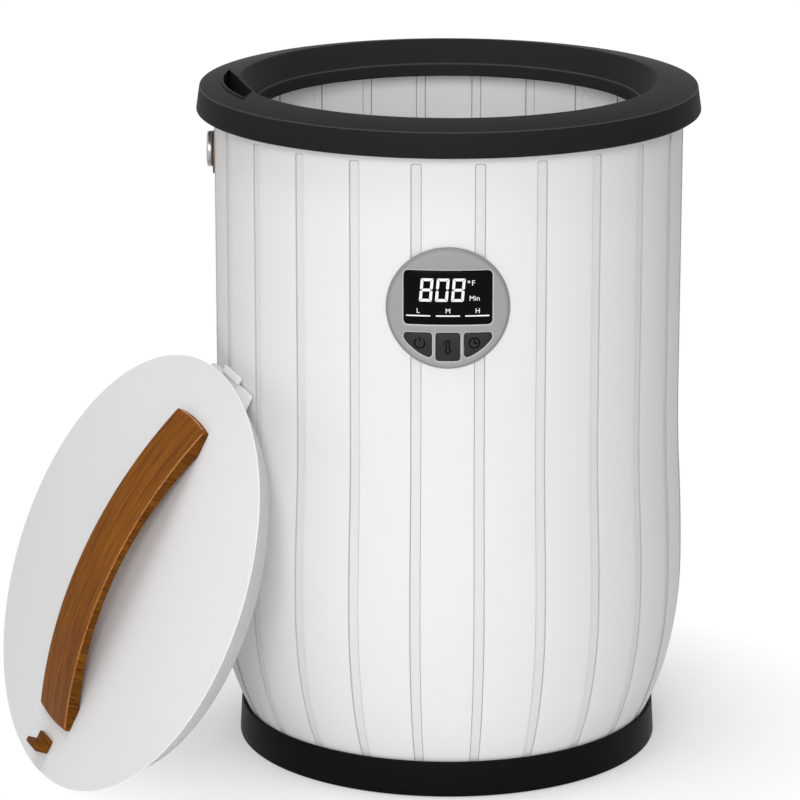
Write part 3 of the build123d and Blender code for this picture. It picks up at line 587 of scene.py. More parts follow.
def banded_wall(section, banded, sizes, depth, inner_low=None):
    """Turns a closed section round Z in uneven steps, so that the bands' walls are crisp, and
    presses the bands in. banded says which points carry bands; depth is signed outwards. The
    bands' walls wear the second material and their floors the third, so that a piece can give
    the creases and recesses painted shade."""
    count = sizes.band_count
    pitch = FULL_TURN / count
    half = sizes.band_width / sizes.body_radius / 2
    wall_steps = [0.00028, 0.0001, -0.00008, -0.00028, -0.00048, -0.0007, -0.0013]
    edges_out = [half + step / sizes.body_radius for step in wall_steps]
    plain = [pitch / 2 - (pitch / 2 - edges_out[0]) * share for share in (0.0, 0.25, 0.5, 0.75)]
    quarter = plain + edges_out
    angles = [-angle for angle in quarter] + quarter[::-1]
    bm = bmesh.new()
    layer = bm.verts.layers.int.new("banded")
    verts = [bm.verts.new((radius, 0.0, height)) for radius, height in section]
    edges = [bm.edges.new(pair) for pair in zip(verts, verts[1:] + verts[:1])]
    turn_about_z(bm, verts, angles[0])
    for vert, flag in zip(verts, banded):
        vert[layer] = int(flag)
    for before, after in zip(angles, angles[1:]):
        grown = bmesh.ops.extrude_edge_only(bm, edges=edges)["geom"]
        moved = set(verts_of(grown))
        edges = [item for item in grown if isinstance(item, bmesh.types.BMEdge) and item.is_boundary]
        edges = [edge for edge in edges if all(vert in moved for vert in edge.verts)]
        turn_about_z(bm, verts_of(grown), after - before)
    dents = {}
    for vert in bm.verts:
        radius = math.hypot(vert.co.x, vert.co.y)
        angle = math.atan2(vert.co.y, vert.co.x)
        dents[vert] = band_dent(angle, vert.co.z, radius, sizes, inner_low) if vert[layer] else 0.0
        if radius > 0.0:
            vert.co.xy *= (radius + depth * dents[vert]) / radius
    # Band walls take the second material and fully pressed floors the third, for painted shade.
    for face in bm.faces:
        pressed = [dents[vert] for vert in face.verts]
        if max(pressed) - min(pressed) > 0.1:
            face.material_index = 1
        elif min(pressed) > 0.9:
            face.material_index = 2
    turn_about_z(bm, bm.verts, pitch / 2)
    sector = list(bm.verts) + list(bm.edges) + list(bm.faces)
    for step in range(1, count):
        copied = bmesh.ops.duplicate(bm, geom=sector)["geom"]
        turn_about_z(bm, verts_of(copied), pitch * step)
    close_up(bm)
    return bm


class BUCKET_OT_shell(Operator):
    """Makes the white shell with its pressed bands"""

    bl_idname = "bucket.shell"
    bl_label = "Shell"

    def execute(self, context):
        sizes = context.scene.bucket_sizes
        outer = shell_outline(sizes)
        inner = [(radius - sizes.shell_wall, height) for radius, height in outer[::-4]]
        inner = [inner[0]] + inner[1:-1] + [(sizes.body_radius - sizes.shell_wall, sizes.shell_top)]
        section = outer + inner
        banded = [height < sizes.band_top + 0.002 for radius, height in outer] + [False] * len(inner)
        bm = banded_wall(section, banded, sizes, -sizes.band_depth)
        tint = context.scene.bucket_colours.white
        white = moulded_plastic("white_shell", tint, 0.48, fleck=0.006, shine=0.12)
        # The band walls wear a much darker copy of the white as painted shade in the creases, and the band
        # floors a slightly darker copy as painted shade in the recess.
        crease = moulded_plastic("shell_band_edge_painted_shade", tinted(tint, 0.56), 0.55, fleck=0.02, shine=0.05)
        floor = moulded_plastic("shell_band_floor_painted_shade", tinted(tint, 0.94), 0.5, fleck=0.006, shine=0.1)
        piece("body_shell", bm, "bucket", [white, crease, floor], ["outer_shell"], sharp=40.0)
        return {"FINISHED"}


class BUCKET_OT_lining(Operator):
    """Makes the lining with its bands and rounded floor"""

    bl_idname = "bucket.lining"
    bl_label = "Lining"

    def execute(self, context):
        sizes = context.scene.bucket_sizes
        radius, floor, top = sizes.lining_radius, sizes.lining_floor, sizes.band_top
        corner, wall = LINING_CORNER, LINING_WALL
        lip = sizes.shell_top + 0.0014
        heights = [lip, top + 0.003, top + 0.0012, top + 0.0004]
        heights += [top - 0.0004 * step for step in range(0, 9)]
        heights += [top - 0.01, top - 0.03, top - 0.08, 0.25, 0.17, 0.12, 0.100]
        heights += [0.0935, LINING_BAND_LOW, 0.0918, 0.0910, 0.088]
        inner = [(radius, height) for height in heights]
        inner.append((radius, floor + corner))
        bend(inner, Vector((0.0, -1.0)), (radius - corner, floor), 10)
        inner += [(radius * 0.4, floor), (0.0, floor)]
        outer = [(0.0, floor - wall), (radius - corner, floor - wall)]
        bend(outer, Vector((1.0, 0.0)), (radius + wall, floor + corner), 10)
        outer.append((radius + wall, sizes.shell_top))
        outer += [(LINING_LIP_RADIUS, sizes.shell_top), (LINING_LIP_RADIUS, lip)]
        banded = [0.0905 < height < top + 0.002 and r > radius - 0.0001 for r, height in inner]
        banded += [False] * len(outer)
        bm = banded_wall(inner + outer, banded, sizes, LINING_BAND_DEPTH, LINING_BAND_LOW)
        tint = context.scene.bucket_colours.lining
        pale = moulded_plastic("pale_lining", tint, 0.36, fleck=0.01)
        # The band walls wear a much darker copy of the lining as painted shade in the creases.
        crease = moulded_plastic("lining_band_edge_painted_shade", tinted(tint, 0.35), 0.55, fleck=0.02, shine=0.05)
        piece("lining", bm, "bucket", [pale, crease, pale], ["inner_bucket"], sharp=40.0)
        return {"FINISHED"}


# ------------------------------------------------------------------ base


class BUCKET_OT_base(Operator):
    """Makes the black base ring and finishes what is under the bucket"""

    bl_idname = "bucket.base"
    bl_label = "Base"

    def execute(self, context):
        sizes = context.scene.bucket_sizes
        inner = sizes.foot_radius + 0.0003
        low = 0.0005
        bm = lathe(
            [
                (sizes.base_radius, low),
                (sizes.base_top_radius, sizes.base_height),
                (inner, sizes.base_height),
                (inner, low),
            ]
        )
        soften(bm, ring_edges(bm, sizes.base_top_radius, sizes.base_height), 0.0006)
        soften(bm, ring_edges(bm, sizes.base_radius, low), 0.0006)
        soften(bm, ring_edges(bm, inner, sizes.base_height), 0.0003, 2)
        tint = context.scene.bucket_colours.black
        black = moulded_plastic("black_base", tint, 0.42, fleck=0.05, shine=0.03)
        piece("base_band", bm, "bucket", [black], ["base_ring"])
        dress("bottom_cover", moulded_plastic("black_cover", tint, 0.6, fleck=0.05, shine=0.03))
        rubber = soft_rubber("black_rubber", (0.02, 0.02, 0.02))
        dress("rubber_feet", rubber)
        dress("cord_inlet", rubber)
        dress("bottom_screws", brushed_metal("screw_steel", STEEL))
        return {"FINISHED"}


# ------------------------------------------------------------------ rim

POCKET_AZIMUTH = math.radians(194.0)
POCKET_CHORD = 0.130
POCKET_RADIUS = 0.1424
POCKET_END = math.radians(207.3)
POCKET_TAIL = 0.020
POCKET_FLOOR = 0.4216
POCKET_TOP = 0.4336
POCKET_WALL = 0.0016


def pocket_prism(grow, low, high):
    """The D-shaped plan of the rim's pocket as an upright prism."""
    chord, radius = POCKET_CHORD - grow, POCKET_RADIUS + grow
    along = Vector((-math.sin(POCKET_AZIMUTH), math.cos(POCKET_AZIMUTH)))
    foot = Vector((math.cos(POCKET_AZIMUTH), math.sin(POCKET_AZIMUTH))) * chord
    start = foot - along * math.sqrt(radius**2 - chord**2)
    corner = foot + along * (POCKET_TAIL + grow)
    first = math.atan2(start.y, start.x) % FULL_TURN
    last = POCKET_END + grow / radius
    count = 28
    turns = [first + (last - first) * step / count for step in range(count + 1)]
    outline = [(radius * math.cos(turn), radius * math.sin(turn)) for turn in turns] + [tuple(corner)]
    bm = bmesh.new()
    face = bm.faces.new([bm.verts.new((x, y, low)) for x, y in outline])
    pushed(bm, [face], (0.0, 0.0, high - low))
    bmesh.ops.recalc_face_normals(bm, faces=bm.faces)
    return bm


def inside_line(points, wall):
    """An open section line moved sideways by the wall, with its corners mitred, walked backwards."""
    moved = []
    for index, point in enumerate(points):
        here = Vector(point)
        ways = []
        if index > 0:
            ways.append((here - Vector(points[index - 1])).normalized())
        if index < len(points) - 1:
            ways.append((Vector(points[index + 1]) - here).normalized())
        sides = [Vector((-way.y, way.x)) for way in ways]
        mitre = sum(sides, Vector((0.0, 0.0))).normalized()
        moved.append(tuple(here + mitre * wall / mitre.dot(sides[0])))
    return moved[::-1]


def top_edges(bm):
    high = max(vert.co.z for vert in bm.verts)
    return [edge for edge in bm.edges if all(high - vert.co.z < 0.000001 for vert in edge.verts)]


class BUCKET_OT_rim(Operator):
    """Makes the black rim with its funnel, shoulder and D-shaped pocket"""

    bl_idname = "bucket.rim"
    bl_label = "Rim"

    def execute(self, context):
        sizes = context.scene.bucket_sizes
        shoulder = (sizes.shoulder_radius, sizes.shoulder_height)
        crest = (sizes.crest_radius, sizes.rim_height)
        funnel = (sizes.funnel_radius, sizes.funnel_height)
        mouth = (sizes.mouth_radius, sizes.mouth_height)
        low = (sizes.rim_radius, sizes.rim_low)
        seat = (sizes.body_radius + 0.0003, sizes.rim_low)
        outer = [seat, low, shoulder, crest, funnel, mouth]
        bm = lathe(outer + inside_line(outer, sizes.rim_wall), 240)
        for corner, width in ((low, 0.0016), (crest, 0.0010), (mouth, 0.0006)):
            soften(bm, ring_edges(bm, *corner), width, 4)
        # The shoulder and funnel bevels wear the second material, a lighter copy of the black as a painted
        # highlight line.
        for corner in (shoulder, funnel):
            for face in soften(bm, ring_edges(bm, *corner), 0.0006, 3)["faces"]:
                face.material_index = 1
        cup = pocket_prism(POCKET_WALL, POCKET_FLOOR - POCKET_WALL, POCKET_TOP)
        soften(cup, top_edges(cup), 0.0006, 3)
        hollow = pocket_prism(0.0, POCKET_FLOOR, POCKET_TOP + 0.004)
        bm = joined_solids(bm, [cup], "UNION")
        bm = joined_solids(bm, [hollow], "DIFFERENCE")
        tint = context.scene.bucket_colours.rim
        black = moulded_plastic("black_rim", tint, 0.5, fleck=0.04, shine=0.015)
        # A lighter copy of the black for those bevels: a painted highlight.
        edge = moulded_plastic("rim_edge_painted_highlight", tinted(tint, 2.6), 0.5, fleck=0.04, shine=0.03)
        piece("rim", bm, "bucket", [black, edge], ["top_rim"], sharp=28.0)
        return {"FINISHED"}


# ------------------------------------------------------------------ control panel

PLATE_THICKNESS = 0.0021
WINDOW_CORNER = 0.0026
WINDOW_SLIT = 0.0002
KEY_SLIT = 0.00035
KEY_CORNER = 0.0020
KEY_PROUD = 0.0003
KEYS_LOW = 0.0324
SIGN_THICKNESS = 0.00008
DIGITS = (("8", -0.0176), ("0", -0.0079), ("8", 0.0018))
DIGIT_WIDTH = 0.0077
DIGIT_HEIGHT = 0.0144
DIGIT_LOW = 0.0044
DIGIT_SLANT = 0.085
DIGIT_BAR = 0.0017
DIGIT_GAP = 0.00024
SEGMENTS = {"8": "abcdefg", "0": "abcdef"}


def panel_radius(context):
    return context.scene.bucket_sizes.body_radius + context.scene.panel_sizes.proud


def wrap_round(bm, radius, height):
    """Bends a flat plate round the bucket's front: y is the depth under the panel's face."""
    low = min(vert.co.x for vert in bm.verts)
    high = max(vert.co.x for vert in bm.verts)
    steps = max(1, int((high - low) / 0.0022))
    for step in range(1, steps):
        across = low + (high - low) * step / steps
        whole = list(bm.verts) + list(bm.edges) + list(bm.faces)
        bmesh.ops.bisect_plane(bm, geom=whole, dist=0.0000001, plane_co=(across, 0, 0), plane_no=(1, 0, 0))
    for vert in bm.verts:
        inner = radius - vert.co.y
        vert.co.y = -math.sqrt(inner**2 - vert.co.x**2)
        vert.co.z += height


def rounded_corners(points, radius, count=5):
    """The corners of a flat outline, each turned into an arc of this radius."""
    rounded = []
    for index, point in enumerate(points):
        here = Vector(point)
        to_last = Vector(points[index - 1]) - here
        to_next = Vector(points[(index + 1) % len(points)]) - here
        back, ahead = to_last.normalized(), to_next.normalized()
        opening = back.angle(ahead)
        reach = radius / math.tan(opening / 2)
        if reach > 0.45 * min(to_last.length, to_next.length):
            rounded.append(tuple(here))
            continue
        middle = here + (back + ahead).normalized() * (radius / math.sin(opening / 2))
        start = here + back * reach - middle
        end = here + ahead * reach - middle
        turn = start.angle_signed(end)
        for step in range(count + 1):
            rounded.append(tuple(middle + Matrix.Rotation(-turn * step / count, 2) @ start))
    return rounded


def window_outline(panel, grow=0.0):
    half = panel.window_width / 2 + grow
    low, high = -panel.window_bottom - grow, panel.window_top + grow
    return rounded_corners(rectangle(-half, half, low, high), WINDOW_CORNER + grow, 6)


def side_key_outline(panel, side, grow=0.0):
    """A side button: its lower edge runs parallel to the panel's edge, and every corner is round."""
    reach, corner = KEYS_LOW + grow, KEY_CORNER + grow
    near, far, top = 0.0098 - grow + corner, 0.0267 + grow - corner, -panel.key_top + grow - corner
    low_far = (far, -math.sqrt((reach - corner) ** 2 - far**2))
    low_near = (near, -math.sqrt((reach - corner) ** 2 - near**2))
    start, stop = [math.degrees(math.atan2(z, x)) for x, z in (low_far, low_near)]
    outline = arc((near, top), corner, 180, 90) + arc((far, top), corner, 90, 0)
    outline += arc(low_far, corner, 0, start, 4) + arc((0.0, 0.0), reach, start, stop, 14)[1:-1]
    outline += arc(low_near, corner, stop, -180)
    return [(side * x, z) for x, z in outline]


def middle_key_outline(panel, grow=0.0):
    corner = KEY_CORNER + grow
    half = 0.0074 + grow - corner
    top, low = -panel.key_top + grow - corner, -KEYS_LOW - grow + corner
    outline = arc((-half, top), corner, 180, 90) + arc((half, top), corner, 90, 0)
    return outline + arc((half, low), corner, 0, -90) + arc((-half, low), corner, -90, -180)


def front_edges(bm, depth, least=40.0):
    """The edges round the front faces at this depth."""
    limit = math.radians(least)
    chosen = []
    for edge in bm.edges:
        flat = all(abs(vert.co.y - depth) < 0.000001 for vert in edge.verts)
        if flat and len(edge.link_faces) == 2 and edge.calc_face_angle(0.0) > limit:
            chosen.append(edge)
    return chosen


def strokes_piece(context, name, plates, lift, body, material):
    """Flat signs, each an outline of (x, z) corners, laid on the panel lift above its face."""
    panel = context.scene.panel_sizes
    bm = bmesh.new()
    for outline in plates:
        slab(bm, outline, -lift, -lift + SIGN_THICKNESS)
    wrap_round(bm, panel_radius(context), panel.height)
    close_up(bm)
    piece(name, bm, body, [material])


def digit_plates(character, left):
    """A slanted seven-segment digit, its bars mitred where they meet."""
    width, height, bar, gap = DIGIT_WIDTH, DIGIT_HEIGHT, DIGIT_BAR, DIGIT_GAP
    half, core = height / 2, bar / 2
    upright = [
        (0, height - gap),
        (bar, height - bar - gap),
        (bar, half + core + gap),
        (core, half + gap),
        (0, half + core),
    ]
    across = [
        (gap, height),
        (width - gap, height),
        (width - bar - gap, height - bar),
        (bar + gap, height - bar),
    ]
    middle = [
        (core + gap, half),
        (bar + gap, half + core),
        (width - bar - gap, half + core),
        (width - core - gap, half),
        (width - bar - gap, half - core),
        (bar + gap, half - core),
    ]
    bars = {
        "a": across,
        "b": [(width - x, z) for x, z in upright],
        "c": [(width - x, height - z) for x, z in upright],
        "d": [(x, height - z) for x, z in across],
        "e": [(x, height - z) for x, z in upright],
        "f": upright,
        "g": middle,
    }
    plates = [bars[segment] for segment in SEGMENTS[character]]
    return [[(left + x + z * DIGIT_SLANT, DIGIT_LOW + z) for x, z in plate] for plate in plates]


def text_mesh(words, size):
    """Plain lettering in Blender's own font, as a flat mesh from (0, 0)."""
    curve = bpy.data.curves.new("lettering", "FONT")
    curve.body = words
    curve.size = size
    curve.resolution_u = 4
    holder = bpy.data.objects.new("lettering", curve)
    bpy.context.scene.collection.objects.link(holder)
    bpy.context.view_layer.update()
    mesh = bpy.data.meshes.new_from_object(holder.evaluated_get(bpy.context.evaluated_depsgraph_get()))
    bpy.data.objects.remove(holder)
    bpy.data.curves.remove(curve)
    return mesh


def lettering(bm, words, centre, height):
    """Adds words, centred, as thin upright letters of this cap height."""
    mesh = text_mesh(words, height / 0.7)
    letters = bmesh.new()
    letters.from_mesh(mesh)
    bpy.data.meshes.remove(mesh)
    xs = [vert.co.x for vert in letters.verts]
    ys = [vert.co.y for vert in letters.verts]
    middle = Vector(((min(xs) + max(xs)) / 2, (min(ys) + max(ys)) / 2, 0.0))
    bmesh.ops.translate(letters, verts=letters.verts, vec=-middle)
    pushed(letters, list(letters.faces), (0.0, 0.0, SIGN_THICKNESS))
    turn = Matrix.Rotation(math.radians(90.0), 4, "X")
    bmesh.ops.transform(letters, matrix=turn, verts=letters.verts)
    bmesh.ops.translate(letters, verts=letters.verts, vec=(centre[0], 0.0, centre[1]))
    bmesh.ops.recalc_face_normals(letters, faces=letters.faces)
    carrier = bpy.data.meshes.new("letters")
    letters.to_mesh(carrier)
    letters.free()
    bm.from_mesh(carrier)
    bpy.data.meshes.remove(carrier)


class BUCKET_OT_panel(Operator):
    """Makes the round control panel, its window and the lit signs"""

    bl_idname = "bucket.panel"
    bl_label = "Control panel"

    def execute(self, context):
        panel = context.scene.panel_sizes
        colours = context.scene.bucket_colours
        front = panel_radius(context)
        disc = prism(oval(panel.radius, panel.radius, 128), 0.0, PLATE_THICKNESS)
        # The disc's rounded outer edge wears the third material, a darker grey as painted shade.
        for face in soften(disc, front_edges(disc, 0.0), 0.0020, 6)["faces"]:
            face.material_index = 2
        openings = [
            window_outline(panel, WINDOW_SLIT),
            side_key_outline(panel, -1, KEY_SLIT),
            side_key_outline(panel, 1, KEY_SLIT),
            middle_key_outline(panel, KEY_SLIT),
        ]
        disc = joined_solids(disc, [prism(outline, -0.001, 0.003) for outline in openings], "DIFFERENCE")
        bmesh.ops.dissolve_limit(disc, angle_limit=0.001, verts=disc.verts, edges=disc.edges)
        inner = [
            edge
            for edge in front_edges(disc, 0.0)
            if max(math.hypot(vert.co.x, vert.co.z) for vert in edge.verts) < panel.radius - 0.0015
        ]
        # The small bevels round the openings wear the second material, a lighter grey as a painted
        # highlight.
        for face in soften(disc, inner, 0.0005, 2)["faces"]:
            face.material_index = 1
        wrap_round(disc, front, panel.height)
        close_up(disc)
        grey = moulded_plastic("grey_panel", colours.panel, 0.45, fleck=0.012, grain_size=0.0004)
        pale = moulded_plastic("panel_chamfer_painted_highlight", tinted(colours.panel, 2.0), 0.4, fleck=0.012)
        painted_shade_border = moulded_plastic("panel_border_painted_shade", tinted(colours.panel, 0.8), 0.45, fleck=0.012)
        piece("panel_face", disc, "bucket", [grey, pale, painted_shade_border], ["control_bezel"])

        window = prism(window_outline(panel), 0.0002, 0.0016)
        soften(window, front_edges(window, 0.0002), 0.0002, 2)
        wrap_round(window, front, panel.height)
        smoked = dark_glass("smoked_window")
        piece("window_glass", window, "bucket", [smoked], ["display_window"])

        plates = []
        for character, left in DIGITS:
            plates += digit_plates(character, left)
        half = 0.0073
        for middle in (-0.0180, 0.0, 0.0178):
            plates.append(rectangle(middle - half, middle + half, -0.0049, -0.0041))
        degree = (0.0126, 0.0167)
        for start in (0, 180):
            plates.append(ring_stroke(degree, 0.0006, 0.0004, start, start + 180, 10))
        glow = lit_sign("lit_signs", colours.glow)
        strokes_piece(context, "display_signs", plates, -0.00012, "bucket", glow)
        words = bmesh.new()
        lettering(words, "F", (0.0154, 0.0160), 0.0033)
        lettering(words, "Min", (0.0161, 0.0065), 0.0031)
        for letter, across in (("L", -0.0180), ("M", 0.0), ("H", 0.0180)):
            lettering(words, letter, (across, -0.0013), 0.0030)
        bmesh.ops.translate(words, verts=words.verts, vec=(0.0, 0.0002, 0.0))
        wrap_round(words, front, panel.height)
        close_up(words)
        piece("display_letters", words, "bucket", [glow])
        return {"FINISHED"}


def ring_stroke(centre, radius, width, start, stop, count=26):
    """An arc-shaped stroke between two angles, in degrees."""
    outer = arc(centre, radius + width / 2, start, stop, count)
    inner = arc(centre, radius - width / 2, start, stop, count)
    return outer + inner[::-1]


def bar_stroke(start, end, width):
    start, end = Vector(start), Vector(end)
    side = Vector((-(end - start).y, (end - start).x)).normalized() * width / 2
    return [tuple(start + side), tuple(end + side), tuple(end - side), tuple(start - side)]


class BUCKET_OT_buttons(Operator):
    """Makes the three buttons and the signs on them"""

    bl_idname = "bucket.buttons"
    bl_label = "Buttons"

    def execute(self, context):
        panel = context.scene.panel_sizes
        colours = context.scene.bucket_colours
        face = panel_radius(context)
        dark = moulded_plastic("dark_button", colours.button, 0.48, fleck=0.03, grain_size=0.0003, shine=0.2)
        ink = moulded_plastic("button_sign", tinted(colours.button, 0.06), 0.5, fleck=0.1, shine=0.02)
        outlines = {
            "power_button": side_key_outline(panel, -1),
            "temperature_button": middle_key_outline(panel),
            "timer_button": side_key_outline(panel, 1),
        }
        width = 0.0008
        left, right = (-0.0171, -0.0215), (0.0161, -0.0214)
        signs = {
            "power_button": [
                ring_stroke(left, 0.0031, width, 128, 412),
                bar_stroke((left[0], left[1] + 0.0008), (left[0], left[1] + 0.0038), width),
            ],
            "temperature_button": [
                ring_stroke((0.0, -0.0262), 0.0015, width, 125, 415),
                bar_stroke((-0.0009, -0.0250), (-0.0009, -0.0205), width),
                bar_stroke((0.0009, -0.0250), (0.0009, -0.0205), width),
                ring_stroke((0.0, -0.0205), 0.0009, width, 0, 180, 10),
                bar_stroke((-0.0034, -0.0208), (-0.0019, -0.0208), width * 0.8),
                bar_stroke((-0.0029, -0.0229), (-0.0019, -0.0229), width * 0.8),
            ],
            "timer_button": [
                ring_stroke(right, 0.0031, width, 0, 180),
                ring_stroke(right, 0.0031, width, 180, 360),
                bar_stroke((right[0], right[1] - 0.0002), (right[0], right[1] + 0.0021), width),
                bar_stroke((right[0], right[1]), (right[0] + 0.0019, right[1] - 0.0002), width),
            ],
        }
        for node, outline in outlines.items():
            bm = prism(outline, -KEY_PROUD, 0.0034)
            soften(bm, front_edges(bm, -KEY_PROUD), 0.0005, 3)
            wrap_round(bm, face, panel.height)
            close_up(bm)
            piece(node + "_cap", bm, node, [dark], [node])
            strokes_piece(context, node + "_sign", signs[node], 0.00034, node, ink)
        return {"FINISHED"}


# ------------------------------------------------------------------ side stud


class BUCKET_OT_stud(Operator):
    """Makes the metal stud at the side and the pad behind it"""

    bl_idname = "bucket.stud"
    bl_label = "Side stud"

    def execute(self, context):
        sizes = context.scene.bucket_sizes
        colours = context.scene.bucket_colours
        height, radius, thick = 0.3873, 0.01135, 0.0033
        back = sizes.body_radius + 0.0014
        bm = lathe([(0.0, back), (radius, back), (radius, back + thick), (0.0, back + thick)], 96)
        soften(bm, ring_edges(bm, radius, back + thick), 0.0011, 5)
        soften(bm, ring_edges(bm, radius, back), 0.0003, 2)
        turn = Matrix.Translation((0.0, 0.0, height)) @ Matrix.Rotation(math.radians(-90.0), 4, "Y")
        bmesh.ops.transform(bm, matrix=turn, verts=bm.verts)
        metal = brushed_metal("stud_metal", colours.metal, stretch=(1.0, 30.0, 1.0), roughness=0.34)
        piece("stud_cap", bm, "bucket", [metal], ["side_stud"])
        pad = prism(oval(0.012, 0.01375, 72), 0.0, 0.001)
        soften(pad, front_edges(pad, 0.0), 0.0004, 3)
        wrap_round(pad, sizes.body_radius + 0.0012, height - 0.0021)
        close_up(pad)
        turn_about_z(pad, pad.verts, math.radians(-90.0))
        leather = grained_leather("stud_leather", colours.leather)
        piece("stud_backing", pad, "bucket", [leather], ["stud_pad"])
        return {"FINISHED"}


# ------------------------------------------------------------------ lid

LID_WALL = 0.0024
EAR_ROOT = 0.1285
EAR_LOW = -0.0125
EAR_HIGH = -0.0100
TONGUE_LOW = -0.0110
TONGUE_HIGH = -0.0082
HANDLE_LIFT = 0.0003
HANDLE_SPAN = 0.091
HANDLE_END = 0.0032


class BUCKET_OT_lid(Operator):
    """Makes the lid's cover, ear and tongue"""

    bl_idname = "bucket.lid"
    bl_label = "Lid"

    def execute(self, context):
        lid = context.scene.lid_sizes
        place_lid = lid_matrix()
        wall = LID_WALL
        inner_top = lid.skirt_radius + (lid.radius - lid.skirt_radius) * (1.0 - wall / lid.depth) - wall
        bm = lathe(
            [
                (0.0, 0.0),
                (lid.radius, 0.0),
                (lid.skirt_radius, -lid.depth),
                (lid.skirt_radius - wall, -lid.depth),
                (inner_top, -wall),
                (0.0, -wall),
            ],
            240,
        )
        rounded = soften(bm, ring_edges(bm, lid.radius, 0.0), 0.0007, 3)["faces"]
        soften(bm, ring_edges(bm, lid.skirt_radius, -lid.depth), 0.0005, 3)
        # The skirt's sloping faces wear the second material, a darker copy of the white as painted shade.
        bm.normal_update()
        for face in bm.faces:
            face.material_index = int(abs(face.normal.z) < 0.75 and face.calc_center_median().z < -0.001)
        # The rounded top edge wears the third material, a lighter copy of the white as a painted highlight.
        for face in rounded:
            face.material_index = 2
        bmesh.ops.transform(bm, matrix=place_lid, verts=bm.verts)
        tint = context.scene.bucket_colours.white
        # The lid's white is the shell's white made a little darker, as painted shade; the ear and the liner
        # wear it too.
        white = moulded_plastic("white_lid", tinted(tint, 0.96), 0.48, fleck=0.006, shine=0.12)
        shaded = moulded_plastic("lid_skirt_painted_shade", tinted(tint, 0.75), 0.48, fleck=0.006, shine=0.12)
        edge = moulded_plastic("lid_edge_painted_highlight", tinted(tint, 1.15), 0.4, fleck=0.006, shine=0.3)
        piece("lid_top", bm, "lid", [white, shaded, edge], ["lid_cover"])

        tab = bmesh.new()
        half = lid.ear_width / 2
        ear = block(tab, (EAR_ROOT, -half, EAR_LOW), (lid.ear_reach, half, EAR_HIGH))
        ear_edges = {edge for vert in ear for edge in vert.link_edges}
        corners = [
            edge
            for edge in ear_edges
            if all(vert.co.x > lid.ear_reach - 0.0001 for vert in edge.verts)
            and abs(edge.verts[0].co.z - edge.verts[1].co.z) > 0.001
        ]
        soften(tab, corners, 0.002, 5)
        half = lid.tongue_width / 2
        tongue = block(tab, (lid.ear_reach, -half, TONGUE_LOW), (lid.tongue_reach, half, TONGUE_HIGH))
        outer = {edge for vert in tongue for edge in vert.link_edges}
        soften(tab, list(outer), 0.0007, 3)
        bmesh.ops.transform(tab, matrix=place_lid, verts=tab.verts)
        piece("lid_ear", tab, "lid", [white], ["lid_tab"])
        dress("lid_liner", white)
        dress("lid_seal", soft_rubber("pale_seal", (0.45, 0.45, 0.45)))
        dress("lid_foam", pressed_felt("lid_foam", (0.8, 0.8, 0.78)))
        return {"FINISHED"}


def bowed_height(across, half_span, peak, end_height):
    """Height over the lid of an arc that peaks in the middle."""
    rise = peak - end_height
    radius = (half_span**2 + rise**2) / (2.0 * rise)
    return peak - radius + math.sqrt(radius**2 - across**2)


